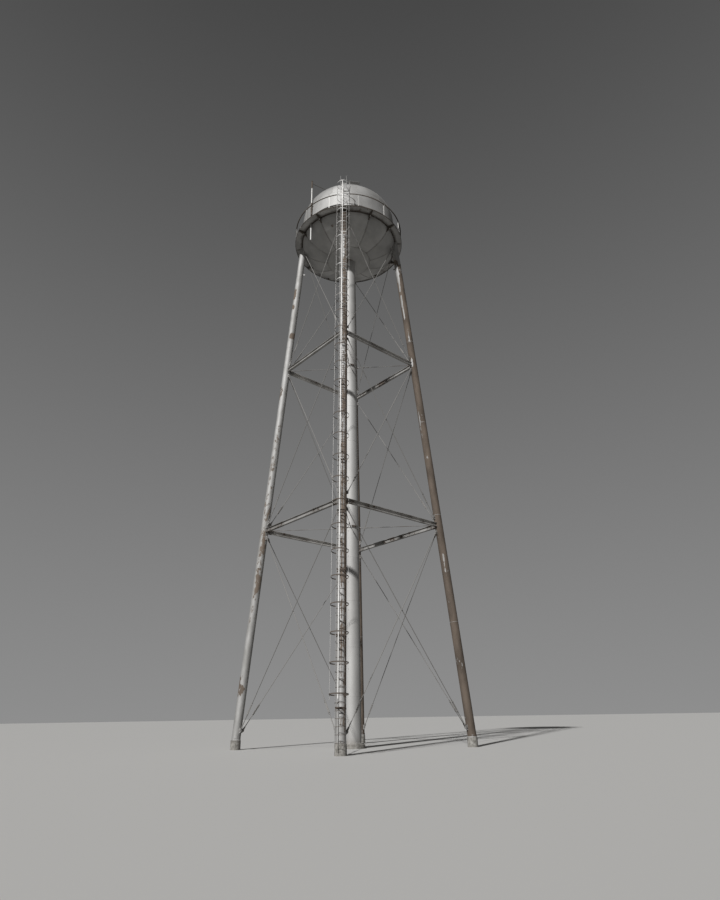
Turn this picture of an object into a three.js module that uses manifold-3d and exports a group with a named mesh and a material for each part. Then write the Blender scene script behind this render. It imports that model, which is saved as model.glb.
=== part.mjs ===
// Elevated water tower: a steel tank on four leaning pipe legs with a central riser,
// braced by two rings of struts and by crossed rods, with a balcony and a caged ladder.
// Millimetres, +Z up. The origin is on the ground, on the axis of the riser.
// +Y is called north, and the ladder climbs the south-east leg.

import * as THREE from 'three';
import { mergeVertices } from 'three/addons/utils/BufferGeometryUtils.js';
import Module from 'manifold-3d';

const wasm = await Module();
wasm.setup();

// Clearance between pieces that meet
const gap = 0.3;

// Length by which a cutting solid passes what it cuts
const excess = 200;

// Tank
const tankRadius = 3353;
const tankWall = 40;
const balconyLevel = 33050;
const shellHeight = 1930;
const roofRise = 2250;
const bottomDepth = 1600;
const tankSides = 40;
const domeSteps = 6;

// Legs and their footings
const footRadius = 6090;
const legRadius = 228.6;
const legSides = 14;
const pierHeight = 450;
const pierBottomRadius = 262;
const pierTopRadius = 255;
const pierSides = 16;
const basePlateRadius = 245;
const basePlateThickness = 30;

// Riser
const riserRadius = 457;
const riserSides = 20;
const riserFlangeRadius = 580;
const riserFlangeThickness = 50;
const riserPierHeight = 200;
const riserPierBottomRadius = 660;
const riserPierTopRadius = 640;

// Struts
const lowerStrutLevel = 11560;
const upperStrutLevel = 22560;
const strutDepth = 230;
const strutWidth = 160;
const strutFlange = 16;
const strutWeb = 14;

// Gusset plates on the legs, and the pins that the crossed rods hang on
const gussetThickness = 20;
const gussetHalfHeight = 270;
const gussetHalfEdge = 85;
const gussetBeyondPin = 60;
const pinInset = 330;
const pinAboveFoot = 420;
const pinFromStrut = 460;
const pinBelowBalcony = 700;

// Crossed rods with a fork at each end and a turnbuckle
const rodRadius = 19;
const rodSides = 4;
const rodStart = 120;
const forkWidth = 110;
const forkWall = 16;
const forkBeyondPin = 55;
const forkThroat = 85;
const forkLength = 190;
const turnbuckleLength = 620;
const turnbuckleWidth = 84;
const turnbuckleFromPin = 900;

// Ties from the riser's collars to the legs
const tieRadius = 15;
const collarHeight = 160;
const collarThickness = 40;
const lugLength = 100;
const lugThickness = 30;
const lugHeight = 110;

// Balcony
const balconyRadius = 3900;
const floorThickness = 20;
const rimDepth = 75;
const rimThickness = 14;
const bracketCount = 12;
const bracketThickness = 25;
const bracketDepth = 400;
const bracketFrom = 3150;
const bracketTo = 3875;

// Handrail, with an opening at the ladder
const handrailHeight = 1090;
const handrailInset = 10;
const handrailSize = 76;
const handrailThickness = 14;
const postSize = 66;
const postCount = 12;
const openingWidth = 860;

// Mast on the balcony
const mastRadius = 57;
const mastDistance = 3430;
const mastBottom = 31570;
const mastTop = 37200;
const mastSides = 12;
const clampWidth = 80;
const clampHeight = 70;
const clampLevels = [250, 1650];

// Ladder
const ladderWidth = 400;
const ladderOffset = 550;
const ladderBottom = 300;
const ladderSplice = 10;
const ladderBelowBalcony = 150;
const railDepth = 60;
const railBar = 14;
const rungSize = 26;
const rungSpacing = 304.8;
const standoffSpacing = 3000;
const standoffWidth = 60;
const tankLadderOffset = 400;
const tankLadderTop = 35950;

// Cage, whose upright bars stand inside the middles of chosen flats of its hoops
const cageRadius = 410;
const cageStart = 2060;
const hoopHeight = 55;
const hoopThickness = 10;
const hoopSegments = 9;
const cageBarWidth = 40;
const cageBarThickness = 12;
const cageBarFlats = [-3, 0, 3];
const tankHoopLevels = [450, 1050, 1650];
const tankCageHeight = 1680;

// Hoops of the leg's cage, spaced up the leg beside each length of the ladder
const lowerHoops = { first: 2270, spacing: 1255, count: 12 };
const upperHoops = { first: 18180, spacing: 1250, count: 12 };
const hoopsPerLength = 3;

// Roof fittings
const ventRadius = 300;
const ventNeckRadius = 180;
const ventNeckDepth = 60;
const ventEaves = 153;
const ventBrim = 204;
const ventShoulder = 306;
const ventHeight = 340;
const hatchDistance = 2500;
const hatchAngle = -31;
const hatchSize = 700;
const hatchHeight = 170;
const lidOverhang = 30;
const lidThickness = 40;

// Values worked out from the sizes above
const halfTurn = Math.PI;
const quarterTurn = Math.PI / 2;
const springLevel = balconyLevel + shellHeight;
const crownLevel = springLevel + roofRise;
const footHalf = footRadius / Math.SQRT2;
const topHalf = tankRadius / Math.SQRT2;
const batter = (footHalf - topHalf) / balconyLevel;
const radialBatter = (footRadius - tankRadius) / balconyLevel;
const faceStretch = Math.hypot(1, batter);
const legStretch = Math.hypot(1, radialBatter);
const ladderAngle = -halfTurn / 4;
const floorUnderside = balconyLevel - floorThickness;
const plateTop = pierHeight + gap + basePlateThickness;
const handrailOut = balconyRadius - handrailInset;
const handrailTop = balconyLevel + handrailHeight;
const hoopEnd = ladderWidth / 2 + railBar / 2 + gap;
const cageCentre = Math.sqrt(cageRadius ** 2 - hoopEnd ** 2);
const hoopStart = Math.atan2(-cageCentre, hoopEnd);
const hoopStep = (halfTurn - 2 * hoopStart) / hoopSegments;

// Finishes
const finishes = {
  tankPaint: { color: 0xd6d4ce, roughness: 0.5, metalness: 0.2 },
  framePaint: { color: 0xbdb9b1, roughness: 0.6, metalness: 0.25 },
  rodSteel: { color: 0x8d8983, roughness: 0.6, metalness: 0.4 },
  galvanised: { color: 0xc8c8c6, roughness: 0.45, metalness: 0.6 },
  concrete: { color: 0xa8a398, roughness: 0.95, metalness: 0 },
};

const tower = new THREE.Group();

function addPiece(parent, name, geometry, finish) {
  const mesh = new THREE.Mesh(geometry, new THREE.MeshStandardMaterial(finishes[finish]));
  mesh.name = name;
  parent.add(mesh);
  return mesh;
}

// Closed mesh to solid, and back
function toSolid(geometry) {
  const bare = geometry.clone();
  bare.deleteAttribute('normal');
  bare.deleteAttribute('uv');
  const merged = mergeVertices(bare, 0.005);
  return new wasm.Manifold(new wasm.Mesh({
    numProp: 3,
    vertProperties: new Float32Array(merged.attributes.position.array),
    triVerts: new Uint32Array(merged.index.array),
  }));
}

function toGeometry(solid) {
  const mesh = solid.getMesh();
  const geometry = new THREE.BufferGeometry();
  geometry.setAttribute('position', new THREE.BufferAttribute(new Float32Array(mesh.vertProperties), 3));
  geometry.setIndex(new THREE.BufferAttribute(new Uint32Array(mesh.triVerts), 1));
  return geometry;
}

// Joins the first list and takes the second one away from the result
function shape(joined, removed = []) {
  let solid = toSolid(joined[0]);
  for (const geometry of joined.slice(1)) {
    solid = solid.add(toSolid(geometry));
  }
  for (const geometry of removed) {
    solid = solid.subtract(toSolid(geometry));
  }
  return toGeometry(solid);
}

// Box with its centre at the given point
function box(sizeX, sizeY, sizeZ, x = 0, y = 0, z = 0) {
  return new THREE.BoxGeometry(sizeX, sizeY, sizeZ).translate(x, y, z);
}

// Upright cylinder between two heights, with a flat to each of X and Y when the sides divide by four
function upright(radius, sides, low, high) {
  const geometry = new THREE.CylinderGeometry(radius, radius, high - low, sides);
  return geometry.rotateY(halfTurn / sides).rotateX(quarterTurn).translate(0, 0, (low + high) / 2);
}

// Outline of [radius, height] points turned about the Z axis
function turned(points, sides) {
  const profile = points.map(([radius, height]) => new THREE.Vector2(radius, height));
  return new THREE.LatheGeometry(profile, sides).rotateX(quarterTurn);
}

// Outline drawn in XY and given a thickness, centred on z = 0
function plate(points, thickness) {
  const outline = new THREE.Shape(points.map(([x, y]) => new THREE.Vector2(x, y)));
  const geometry = new THREE.ExtrudeGeometry(outline, { depth: thickness, bevelEnabled: false });
  return geometry.translate(0, 0, -thickness / 2);
}

// Half the distance between neighbouring leg centres at a height
function halfSide(height) {
  return footHalf - batter * height;
}

// The south face of the tower: X along the face, Y up the leaning plane, Z outwards
function faceFrame() {
  const along = new THREE.Vector3(1, 0, 0);
  const up = new THREE.Vector3(0, batter, 1).normalize();
  const outwards = new THREE.Vector3().crossVectors(along, up);
  return new THREE.Matrix4().makeBasis(along, up, outwards).setPosition(0, -footHalf, 0);
}

// A point on the south-east leg's centre line, in the face's own coordinates
function legPoint(height) {
  return [halfSide(height), height * faceStretch];
}

// The south-east leg: X across the leg, Y outwards from the tower, Z up the leg
function legFrame() {
  const across = new THREE.Vector3(-1, -1, 0).normalize();
  const up = new THREE.Vector3(-batter, batter, 1).normalize();
  const outwards = new THREE.Vector3().crossVectors(up, across);
  return new THREE.Matrix4().makeBasis(across, outwards, up).setPosition(footHalf, -footHalf, 0);
}

// [Radius, height] points along a quarter of an ellipse, from its rim to near the axis
function ellipsePoints(radius, rise, innerRadius) {
  const lastAngle = Math.acos(innerRadius / radius);
  const points = [];
  for (let step = 0; step <= domeSteps; step += 1) {
    const angle = (lastAngle * step) / domeSteps;
    points.push([radius * Math.cos(angle), rise * Math.sin(angle)]);
  }
  return points;
}

// Outline of the roof from its rim to its crown
function domePoints(radius, rise) {
  const points = ellipsePoints(radius, rise, 0).map(([r, h]) => [r, springLevel + h]);
  points[domeSteps][0] = 0;
  return points;
}

// Outline of the bottom from its rim to the riser
function bowlPoints(radius, depth) {
  return ellipsePoints(radius, depth, riserRadius + gap).map(([r, d]) => [r, balconyLevel - d]);
}

// Outside of the whole tank as one solid, grown by the clearance, for cutting what meets it
function tankEnvelope() {
  const bowl = bowlPoints(tankRadius + gap, bottomDepth + gap);
  const dome = domePoints(tankRadius + gap, roofRise + gap);
  const lowest = bowl[domeSteps][1];
  return turned([[0, lowest], ...bowl.reverse(), ...dome], tankSides);
}

// The south-east leg's pipe along its leaning centre line, longer than needed at both ends
function legPipe(radius) {
  const length = balconyLevel * legStretch;
  return upright(radius, legSides, -excess, length + excess).applyMatrix4(legFrame());
}

function buildTank() {
  const inner = tankRadius - tankWall;
  const shell = turned([
    [inner, balconyLevel + gap],
    [tankRadius, balconyLevel + gap],
    [tankRadius, springLevel - gap],
    [inner, springLevel - gap],
    [inner, balconyLevel + gap],
  ], tankSides);
  addPiece(tower, 'tank_shell', toGeometry(toSolid(shell)), 'tankPaint');

  const roofOut = domePoints(tankRadius, roofRise);
  const roofIn = domePoints(inner, roofRise - tankWall);
  const roof = turned([...roofIn.reverse(), ...roofOut], tankSides);
  addPiece(tower, 'tank_roof', toGeometry(toSolid(roof)), 'tankPaint');

  const bowlOut = bowlPoints(tankRadius, bottomDepth);
  const bowlIn = bowlPoints(inner, bottomDepth - tankWall);
  const bowl = turned([...bowlOut.reverse(), ...bowlIn, bowlOut[0]], tankSides);
  addPiece(tower, 'tank_bottom', toGeometry(toSolid(bowl)), 'tankPaint');
}

// Round footing with battered sides, centred on the axis
function footing(bottomRadius, topRadius, height, sides) {
  const geometry = new THREE.CylinderGeometry(topRadius, bottomRadius, height, sides);
  return geometry.rotateX(quarterTurn).translate(0, 0, height / 2);
}

function buildRiser() {
  const foot = riserPierHeight + gap;
  const top = balconyLevel - bottomDepth + tankWall;
  const pipe = upright(riserRadius, riserSides, foot, top);
  const flange = upright(riserFlangeRadius, riserSides, foot, foot + riserFlangeThickness);
  addPiece(tower, 'riser_pipe', shape([pipe, flange]), 'framePaint');
  const pier = footing(riserPierBottomRadius, riserPierTopRadius, riserPierHeight, riserSides);
  addPiece(tower, 'pier_riser', pier, 'concrete');
}

// Panels of crossed rods, given by the heights of their lower and upper pins
const panels = [
  { name: 'lower', low: plateTop + pinAboveFoot, high: lowerStrutLevel - pinFromStrut },
  { name: 'middle', low: lowerStrutLevel + pinFromStrut, high: upperStrutLevel - pinFromStrut },
  { name: 'upper', low: upperStrutLevel + pinFromStrut, high: balconyLevel - pinBelowBalcony },
];

// The lower and the upper pin beside the south-east leg, in the face's own coordinates
function panelPins(low, high) {
  const [lowX, lowY] = legPoint(low);
  const [highX, highY] = legPoint(high);
  return { low: [lowX - pinInset, lowY], high: [highX - pinInset, highY] };
}

// The same pin beside the neighbouring leg
function acrossFace([x, y]) {
  return [-x, y];
}

// Unit direction from the first point to the second
function direction([fromX, fromY], [toX, toY]) {
  const length = Math.hypot(toX - fromX, toY - fromY);
  return [(toX - fromX) / length, (toY - fromY) / length];
}

// Plate from the leg's centre line to a pin, its free edge square to the rod that leaves there
function gusset(pin, rodTarget, height) {
  const [dirX, dirY] = direction(pin, rodTarget);
  const edge = [pin[0] + dirX * gussetBeyondPin, pin[1] + dirY * gussetBeyondPin];
  const corners = [
    [edge[0] - dirY * gussetHalfEdge, edge[1] + dirX * gussetHalfEdge],
    [edge[0] + dirY * gussetHalfEdge, edge[1] - dirX * gussetHalfEdge],
  ].sort((a, b) => a[1] - b[1]);
  const legLow = legPoint(height - gussetHalfHeight);
  const legHigh = legPoint(height + gussetHalfHeight);
  return plate([legLow, legHigh, corners[1], corners[0]], gussetThickness).applyMatrix4(faceFrame());
}

// Swaps the south face's pieces on to the east face by reflection in the leg's diagonal plane
function mirrorInDiagonal(geometry) {
  const copy = geometry.clone();
  const position = copy.attributes.position;
  for (let i = 0; i < position.count; i += 1) {
    const x = position.getX(i);
    position.setX(i, -position.getY(i));
    position.setY(i, -x);
  }
  for (let i = 0; i < position.count; i += 3) {
    const first = new THREE.Vector3().fromBufferAttribute(position, i);
    const second = new THREE.Vector3().fromBufferAttribute(position, i + 1);
    position.setXYZ(i, second.x, second.y, second.z);
    position.setXYZ(i + 1, first.x, first.y, first.z);
  }
  return copy;
}

// All the plates that carry rods on the south-east leg, for the south and the east face
function legGussets() {
  const plates = [];
  for (const { low, high } of panels) {
    const pins = panelPins(low, high);
    plates.push(gusset(pins.low, acrossFace(pins.high), low));
    plates.push(gusset(pins.high, acrossFace(pins.low), high));
  }
  return [...plates, ...plates.map(mirrorInDiagonal)];
}

function buildLegs() {
  const foot = pierHeight + gap;
  const slabHeight = floorUnderside - gap - foot;
  const slab = box(4 * footRadius, 4 * footRadius, slabHeight, 0, 0, foot + slabHeight / 2);
  const basePlate = upright(basePlateRadius, pierSides, foot, foot + basePlateThickness)
    .translate(halfSide(pierHeight), -halfSide(pierHeight), 0);
  let leg = toSolid(legPipe(legRadius)).intersect(toSolid(slab)).add(toSolid(basePlate));
  for (const plateGeometry of legGussets()) {
    leg = leg.add(toSolid(plateGeometry));
  }
  const geometry = toGeometry(leg.subtract(toSolid(tankEnvelope())));
  const pier = footing(pierBottomRadius, pierTopRadius, pierHeight, pierSides)
    .translate(halfSide(pierHeight), -halfSide(pierHeight), 0);
  ['south_east', 'north_east', 'north_west', 'south_west'].forEach((corner, index) => {
    addPiece(tower, `leg_${corner}`, geometry, 'framePaint').rotation.z = index * quarterTurn;
    addPiece(tower, `pier_${corner}`, pier, 'concrete').rotation.z = index * quarterTurn;
  });
}

// I-section between two legs, coped to the pipes
function strut(level) {
  const halfWidth = strutWidth / 2;
  const halfDepth = strutDepth / 2;
  const halfWeb = strutWeb / 2;
  const neck = halfDepth - strutFlange;
  const right = [[halfWidth, -halfDepth], [halfWidth, -neck], [halfWeb, -neck],
    [halfWeb, neck], [halfWidth, neck], [halfWidth, halfDepth]];
  const left = right.map(([x, y]) => [-x, y]).reverse();
  const beam = plate([...right, ...left], 2 * halfSide(level))
    .rotateX(quarterTurn).rotateZ(quarterTurn)
    .translate(0, -halfSide(level), level);
  const nearLeg = legPipe(legRadius + gap);
  const farLeg = nearLeg.clone().rotateZ(-quarterTurn);
  return shape([beam], [nearLeg, farLeg]);
}

// Fork that holds a gusset between its ears, with the pin at the origin and the rod towards +X
function fork() {
  const inner = gussetThickness / 2 + gap;
  const outer = inner + forkWall;
  const outline = [
    [-forkBeyondPin, inner],
    [-forkBeyondPin, outer],
    [forkLength, outer],
    [forkLength, -outer],
    [-forkBeyondPin, -outer],
    [-forkBeyondPin, -inner],
    [forkThroat, -inner],
    [forkThroat, inner],
  ];
  return plate(outline, forkWidth).rotateX(quarterTurn);
}

// Rod with a fork at each end and a turnbuckle, between two pins of the face
function rod(from, to) {
  const [dirX, dirY] = direction(from, to);
  const length = Math.hypot(to[0] - from[0], to[1] - from[1]);
  const angle = Math.atan2(dirY, dirX);
  const bar = upright(rodRadius, rodSides, rodStart, length - rodStart).rotateY(quarterTurn);
  const turnbuckle = box(turnbuckleLength, turnbuckleWidth, turnbuckleWidth / 2,
    turnbuckleFromPin + turnbuckleLength / 2, 0, 0);
  const farFork = fork().rotateZ(halfTurn).translate(length, 0, 0);
  return [bar, turnbuckle, fork(), farFork]
    .map((piece) => piece.rotateZ(angle).translate(from[0], from[1], 0));
}

function brace(low, high) {
  const pins = panelPins(low, high);
  const rising = rod(acrossFace(pins.low), pins.high);
  const falling = rod(pins.low, acrossFace(pins.high));
  return shape([...rising, ...falling]).applyMatrix4(faceFrame());
}

function buildFaces() {
  const lowerStrut = strut(lowerStrutLevel);
  const upperStrut = strut(upperStrutLevel);
  const braces = panels.map(({ low, high }) => brace(low, high));
  ['south', 'east', 'north', 'west'].forEach((side, index) => {
    const face = new THREE.Group();
    face.rotation.z = index * quarterTurn;
    tower.add(face);
    addPiece(face, `lower_strut_${side}`, lowerStrut, 'framePaint');
    addPiece(face, `upper_strut_${side}`, upperStrut, 'framePaint');
    panels.forEach(({ name }, panel) => {
      addPiece(face, `${name}_cross_rods_${side}`, braces[panel], 'rodSteel');
    });
  });
}

// Collar round the riser with a tie rod to each leg
function riserTies(level) {
  const low = level - collarHeight / 2;
  const high = level + collarHeight / 2;
  const inner = riserRadius + gap;
  const outer = inner + collarThickness;
  const middle = inner + collarThickness / 2;
  const legReach = Math.SQRT2 * halfSide(level);
  const pieces = [upright(outer, riserSides, low, high)];
  for (let corner = 0; corner < 4; corner += 1) {
    const tie = upright(tieRadius, rodSides, middle, legReach).rotateY(quarterTurn);
    const lug = box(outer + lugLength - middle, lugThickness, lugHeight, (outer + lugLength + middle) / 2);
    pieces.push(...[tie, lug].map((piece) => piece
      .rotateZ(halfTurn / 4 + corner * quarterTurn).translate(0, 0, level)));
  }
  const bore = upright(inner, riserSides, low - excess, high + excess);
  const leg = legPipe(legRadius + gap);
  const legs = [0, 1, 2, 3].map((corner) => leg.clone().rotateZ(corner * quarterTurn));
  return shape(pieces, [bore, ...legs]);
}

function mastPipe(radius) {
  return upright(radius, mastSides, mastBottom, mastTop).translate(0, -mastDistance, 0);
}

// Bracket between the tank's bottom and the balcony's rim, drawn to the east
function bracket() {
  const outline = [
    [bracketFrom, -bracketDepth],
    [bracketTo, -rimDepth],
    [bracketTo, floorThickness / 2],
    [bracketFrom, floorThickness / 2],
  ];
  return plate(outline, bracketThickness).rotateX(quarterTurn).translate(0, 0, floorUnderside);
}

function buildBalconyFloor() {
  const inner = tankRadius + gap;
  const rimInside = balconyRadius - rimThickness;
  const deck = turned([
    [inner, floorUnderside],
    [rimInside, floorUnderside],
    [rimInside, balconyLevel - rimDepth],
    [balconyRadius, balconyLevel - rimDepth],
    [balconyRadius, balconyLevel],
    [inner, balconyLevel],
    [inner, floorUnderside],
  ], tankSides);
  const brackets = [];
  for (let index = 0; index < bracketCount; index += 1) {
    const atLeg = index % (bracketCount / 4) === 0;
    if (!atLeg) {
      brackets.push(bracket().rotateZ(ladderAngle + (index * 2 * halfTurn) / bracketCount));
    }
  }
  const cuts = [tankEnvelope(), mastPipe(mastRadius + gap)];
  addPiece(tower, 'balcony_floor', shape([deck, ...brackets], cuts), 'framePaint');
}

// Angle bar bent into a ring, on posts
function buildHandrail() {
  const ring = turned([
    [handrailOut - handrailSize, handrailTop - handrailThickness],
    [handrailOut - handrailThickness, handrailTop - handrailThickness],
    [handrailOut - handrailThickness, handrailTop - handrailSize],
    [handrailOut, handrailTop - handrailSize],
    [handrailOut, handrailTop],
    [handrailOut - handrailSize, handrailTop],
    [handrailOut - handrailSize, handrailTop - handrailThickness],
  ], tankSides);
  const postHeight = handrailHeight - handrailThickness / 2 - gap;
  const posts = [];
  for (let index = 0; index < postCount; index += 1) {
    const post = box(postSize, postSize, postHeight,
      handrailOut - handrailThickness - postSize / 2, 0, balconyLevel + gap + postHeight / 2);
    posts.push(post.rotateZ(ladderAngle + ((index + 0.5) * 2 * halfTurn) / postCount));
  }
  const opening = box(balconyRadius, openingWidth, 2 * handrailHeight, handrailOut, 0, handrailTop)
    .rotateZ(ladderAngle);
  addPiece(tower, 'balcony_handrail', shape([ring, ...posts], [opening]), 'framePaint');
}

// Mast that stands through the balcony, with clamps that reach back to the tank's shell
function buildMast() {
  const clampLength = 2 * (mastDistance - tankRadius);
  const clamps = clampLevels.map((height) => box(clampWidth, clampLength, clampHeight,
    0, clampLength / 2 - mastDistance, balconyLevel + height));
  addPiece(tower, 'balcony_mast', shape([mastPipe(mastRadius), ...clamps], [tankEnvelope()]), 'galvanised');
}

// Ladder standing on z = low, rungs along X, with stand-offs reaching back towards -Y
function ladder(low, high, reach) {
  const half = ladderWidth / 2;
  const middle = (low + high) / 2;
  const pieces = [-half, half].map((x) => box(railBar, railDepth, high - low, x, 0, middle));
  for (let height = low + rungSpacing / 2; height < high - rungSpacing / 3; height += rungSpacing) {
    pieces.push(box(ladderWidth, rungSize, rungSize, 0, 0, height));
  }
  const spacing = Math.min(standoffSpacing, (high - low) / 2);
  for (let height = low + spacing / 2; height < high; height += spacing) {
    pieces.push(box(ladderWidth, standoffWidth / 2, standoffWidth, 0, -railDepth / 2, height));
    pieces.push(box(standoffWidth, reach, standoffWidth, 0, -railDepth / 2 - reach / 2, height));
  }
  return pieces;
}

// Hoop of flat bar from one ladder rail round to the other, as flats of equal length
function hoop(height) {
  const outer = [];
  const inner = [];
  for (let step = 0; step <= hoopSegments; step += 1) {
    const angle = hoopStart + step * hoopStep;
    const unit = [Math.cos(angle), Math.sin(angle)];
    outer.push([(cageRadius + hoopThickness) * unit[0], cageCentre + (cageRadius + hoopThickness) * unit[1]]);
    inner.push([cageRadius * unit[0], cageCentre + cageRadius * unit[1]]);
  }
  return plate([...outer, ...inner.reverse()], hoopHeight).translate(0, 0, height);
}

// Hoops with upright bars on the inside of their flats, in the ladder's coordinates
function cage(low, high, hoopHeights) {
  const flatInside = cageRadius * Math.cos(hoopStep / 2);
  const barCentre = flatInside + hoopThickness / 2 - cageBarThickness / 2;
  const pieces = hoopHeights.map((height) => hoop(height));
  for (const flat of cageBarFlats) {
    const bar = box(cageBarWidth, cageBarThickness, high - low, 0, barCentre, (low + high) / 2);
    pieces.push(bar.rotateZ(flat * hoopStep).translate(0, cageCentre, 0));
  }
  return pieces;
}

// Lengths of cage between two heights, with joints half-way between every few hoops
function cageLengths({ first, spacing, count }, low, high) {
  const beyondHoop = (spacing - ladderSplice) / 2;
  const lengths = [];
  for (let index = 0; index < count; index += hoopsPerLength) {
    const heights = Array.from({ length: hoopsPerLength }, (_, step) => first + (index + step) * spacing);
    lengths.push({
      low: index === 0 ? low : heights[0] - beyondHoop,
      high: index + hoopsPerLength === count ? high : heights[hoopsPerLength - 1] + beyondHoop,
      heights,
    });
  }
  return lengths;
}

// Ladder in two lengths up the south-east leg, and its cage in shorter ones, counted from the ground
function buildLegLadder() {
  const onLeg = legFrame().multiply(new THREE.Matrix4().makeTranslation(0, ladderOffset, 0));
  const legSolid = legPipe(legRadius + gap);
  const top = (balconyLevel - ladderBelowBalcony) * legStretch;
  const middle = (lowerStrutLevel + upperStrutLevel) / 2;
  const lowerEnd = middle - ladderSplice / 2;
  const upperStart = middle + ladderSplice / 2;
  const ladders = [
    { name: 'lower', low: ladderBottom, high: lowerEnd },
    { name: 'upper', low: upperStart, high: top },
  ];
  for (const { name, low, high } of ladders) {
    const rungs = ladder(low, high, ladderOffset).map((piece) => piece.applyMatrix4(onLeg));
    addPiece(tower, `leg_ladder_${name}`, shape(rungs, [legSolid]), 'galvanised');
  }
  const lengths = [
    ...cageLengths(lowerHoops, cageStart, lowerEnd),
    ...cageLengths(upperHoops, upperStart, top),
  ];
  lengths.forEach(({ low, high, heights }, index) => {
    const bars = cage(low, high, heights).map((piece) => piece.applyMatrix4(onLeg));
    addPiece(tower, `leg_cage_${index + 1}`, shape(bars), 'galvanised');
  });
}

// Ladder and cage from the balcony up the tank's side to the roof
function buildTankLadder() {
  const onTank = new THREE.Matrix4().makeRotationZ(ladderAngle - quarterTurn)
    .multiply(new THREE.Matrix4().makeTranslation(0, tankRadius + tankLadderOffset, 0));
  const low = balconyLevel + gap;
  const reach = 2 * tankLadderOffset;
  const rungs = ladder(low, tankLadderTop, reach).map((piece) => piece.applyMatrix4(onTank));
  addPiece(tower, 'tank_ladder', shape(rungs, [tankEnvelope()]), 'galvanised');
  const hoops = tankHoopLevels.map((height) => balconyLevel + height);
  const bars = cage(low, balconyLevel + tankCageHeight, hoops)
    .map((piece) => piece.applyMatrix4(onTank));
  addPiece(tower, 'tank_cage', shape(bars), 'galvanised');
}

// Capped vent pipe at the roof's crown
function buildVent() {
  const vent = turned([
    [0, crownLevel - ventNeckDepth],
    [ventNeckRadius, crownLevel - ventNeckDepth],
    [ventNeckRadius, crownLevel + ventEaves],
    [ventRadius, crownLevel + ventEaves],
    [ventRadius, crownLevel + ventBrim],
    [ventNeckRadius, crownLevel + ventShoulder],
    [0, crownLevel + ventHeight],
  ], riserSides);
  addPiece(tower, 'roof_vent', shape([vent], [tankEnvelope()]), 'tankPaint');
}

// Square hatch that stands square to the dome
function buildHatch() {
  const rootTerm = Math.sqrt(1 - (hatchDistance / tankRadius) ** 2);
  const level = springLevel + roofRise * rootTerm;
  const slope = (roofRise * hatchDistance) / (tankRadius ** 2 * rootTerm);
  const curb = box(hatchSize, hatchSize, hatchHeight * 2);
  const lidSize = hatchSize + 2 * lidOverhang;
  const lid = box(lidSize, lidSize, lidThickness, 0, 0, hatchHeight + lidThickness / 2);
  const placed = [curb, lid].map((piece) => piece.rotateY(Math.atan(slope))
    .translate(hatchDistance, 0, level)
    .rotateZ(THREE.MathUtils.degToRad(hatchAngle)));
  addPiece(tower, 'roof_hatch', shape(placed, [tankEnvelope()]), 'tankPaint');
}

buildTank();
buildRiser();
buildLegs();
buildFaces();
addPiece(tower, 'lower_riser_ties', riserTies(lowerStrutLevel), 'rodSteel');
addPiece(tower, 'upper_riser_ties', riserTies(upperStrutLevel), 'rodSteel');
buildBalconyFloor();
buildHandrail();
buildMast();
buildLegLadder();
buildTankLadder();
buildVent();
buildHatch();

export default tower;
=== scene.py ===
# Elevated steel water tower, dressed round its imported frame. Metres, +Z up, +Y is north.
import math

import bpy
import numpy as np
from mathutils import Matrix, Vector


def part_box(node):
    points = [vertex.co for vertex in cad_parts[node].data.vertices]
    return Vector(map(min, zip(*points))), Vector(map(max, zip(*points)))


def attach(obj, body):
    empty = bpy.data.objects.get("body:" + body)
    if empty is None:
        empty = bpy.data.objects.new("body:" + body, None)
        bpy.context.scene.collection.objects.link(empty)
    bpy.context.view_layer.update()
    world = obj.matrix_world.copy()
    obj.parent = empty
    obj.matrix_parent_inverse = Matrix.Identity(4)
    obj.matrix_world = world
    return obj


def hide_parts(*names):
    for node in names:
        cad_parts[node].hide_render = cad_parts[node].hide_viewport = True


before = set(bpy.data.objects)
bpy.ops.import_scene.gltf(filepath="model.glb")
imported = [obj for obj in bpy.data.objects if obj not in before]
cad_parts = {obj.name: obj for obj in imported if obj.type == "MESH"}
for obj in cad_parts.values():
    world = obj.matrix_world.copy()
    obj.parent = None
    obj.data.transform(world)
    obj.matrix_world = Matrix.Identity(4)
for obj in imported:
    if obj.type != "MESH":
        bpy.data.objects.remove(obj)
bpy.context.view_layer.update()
print("frame loaded:", len(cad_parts), "nodes")


def lowOf(name):
    # The lowest point of a node of the frame
    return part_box(name)[0].z


def highOf(name):
    # The highest point of a node of the frame
    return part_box(name)[1].z


# Quarter turns from the ladder's leg, and from the south face
corners = {"south_east": 0, "north_east": 1, "north_west": 2, "south_west": 3}
sides = {"south": 0, "east": 1, "north": 2, "west": 3}
ladderBearing = -45.0

# Levels and radii read from the frame
levels = {
    "pier": highOf("pier_south_east"),
    "riserPier": highOf("pier_riser"),
    "balcony": highOf("balcony_floor"),
    "spring": lowOf("tank_roof"),
    "crown": highOf("tank_roof"),
    "lowerStrut": (lowOf("lower_strut_south") + highOf("lower_strut_south")) / 2,
    "upperStrut": (lowOf("upper_strut_south") + highOf("upper_strut_south")) / 2,
    "mastLow": lowOf("balcony_mast"),
    "mastHigh": highOf("balcony_mast"),
    "tankLadderHigh": highOf("tank_ladder"),
}
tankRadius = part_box("tank_shell")[1].x
footHalf = 6.09 / math.sqrt(2)  # half the distance between leg centres at the ground
batter = (footHalf - tankRadius / math.sqrt(2)) / levels["balcony"]
faceStretch = math.hypot(1, batter)
deckThickness = 0.020
hair = 0.0003  # gap between pieces that lie against each other
pole = 0.02  # radius at which a turned skin is closed by a flat fan


# Shapes: points, faces and per-point fields, as whole arrays

def unit(vectors):
    # v / |v|
    return vectors / np.linalg.norm(vectors, axis=-1, keepdims=True)


def stacked(*parts):
    # Coordinates spread over a common shape and stacked as the last axis
    return np.stack(np.broadcast_arrays(*parts), axis=-1)


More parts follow.
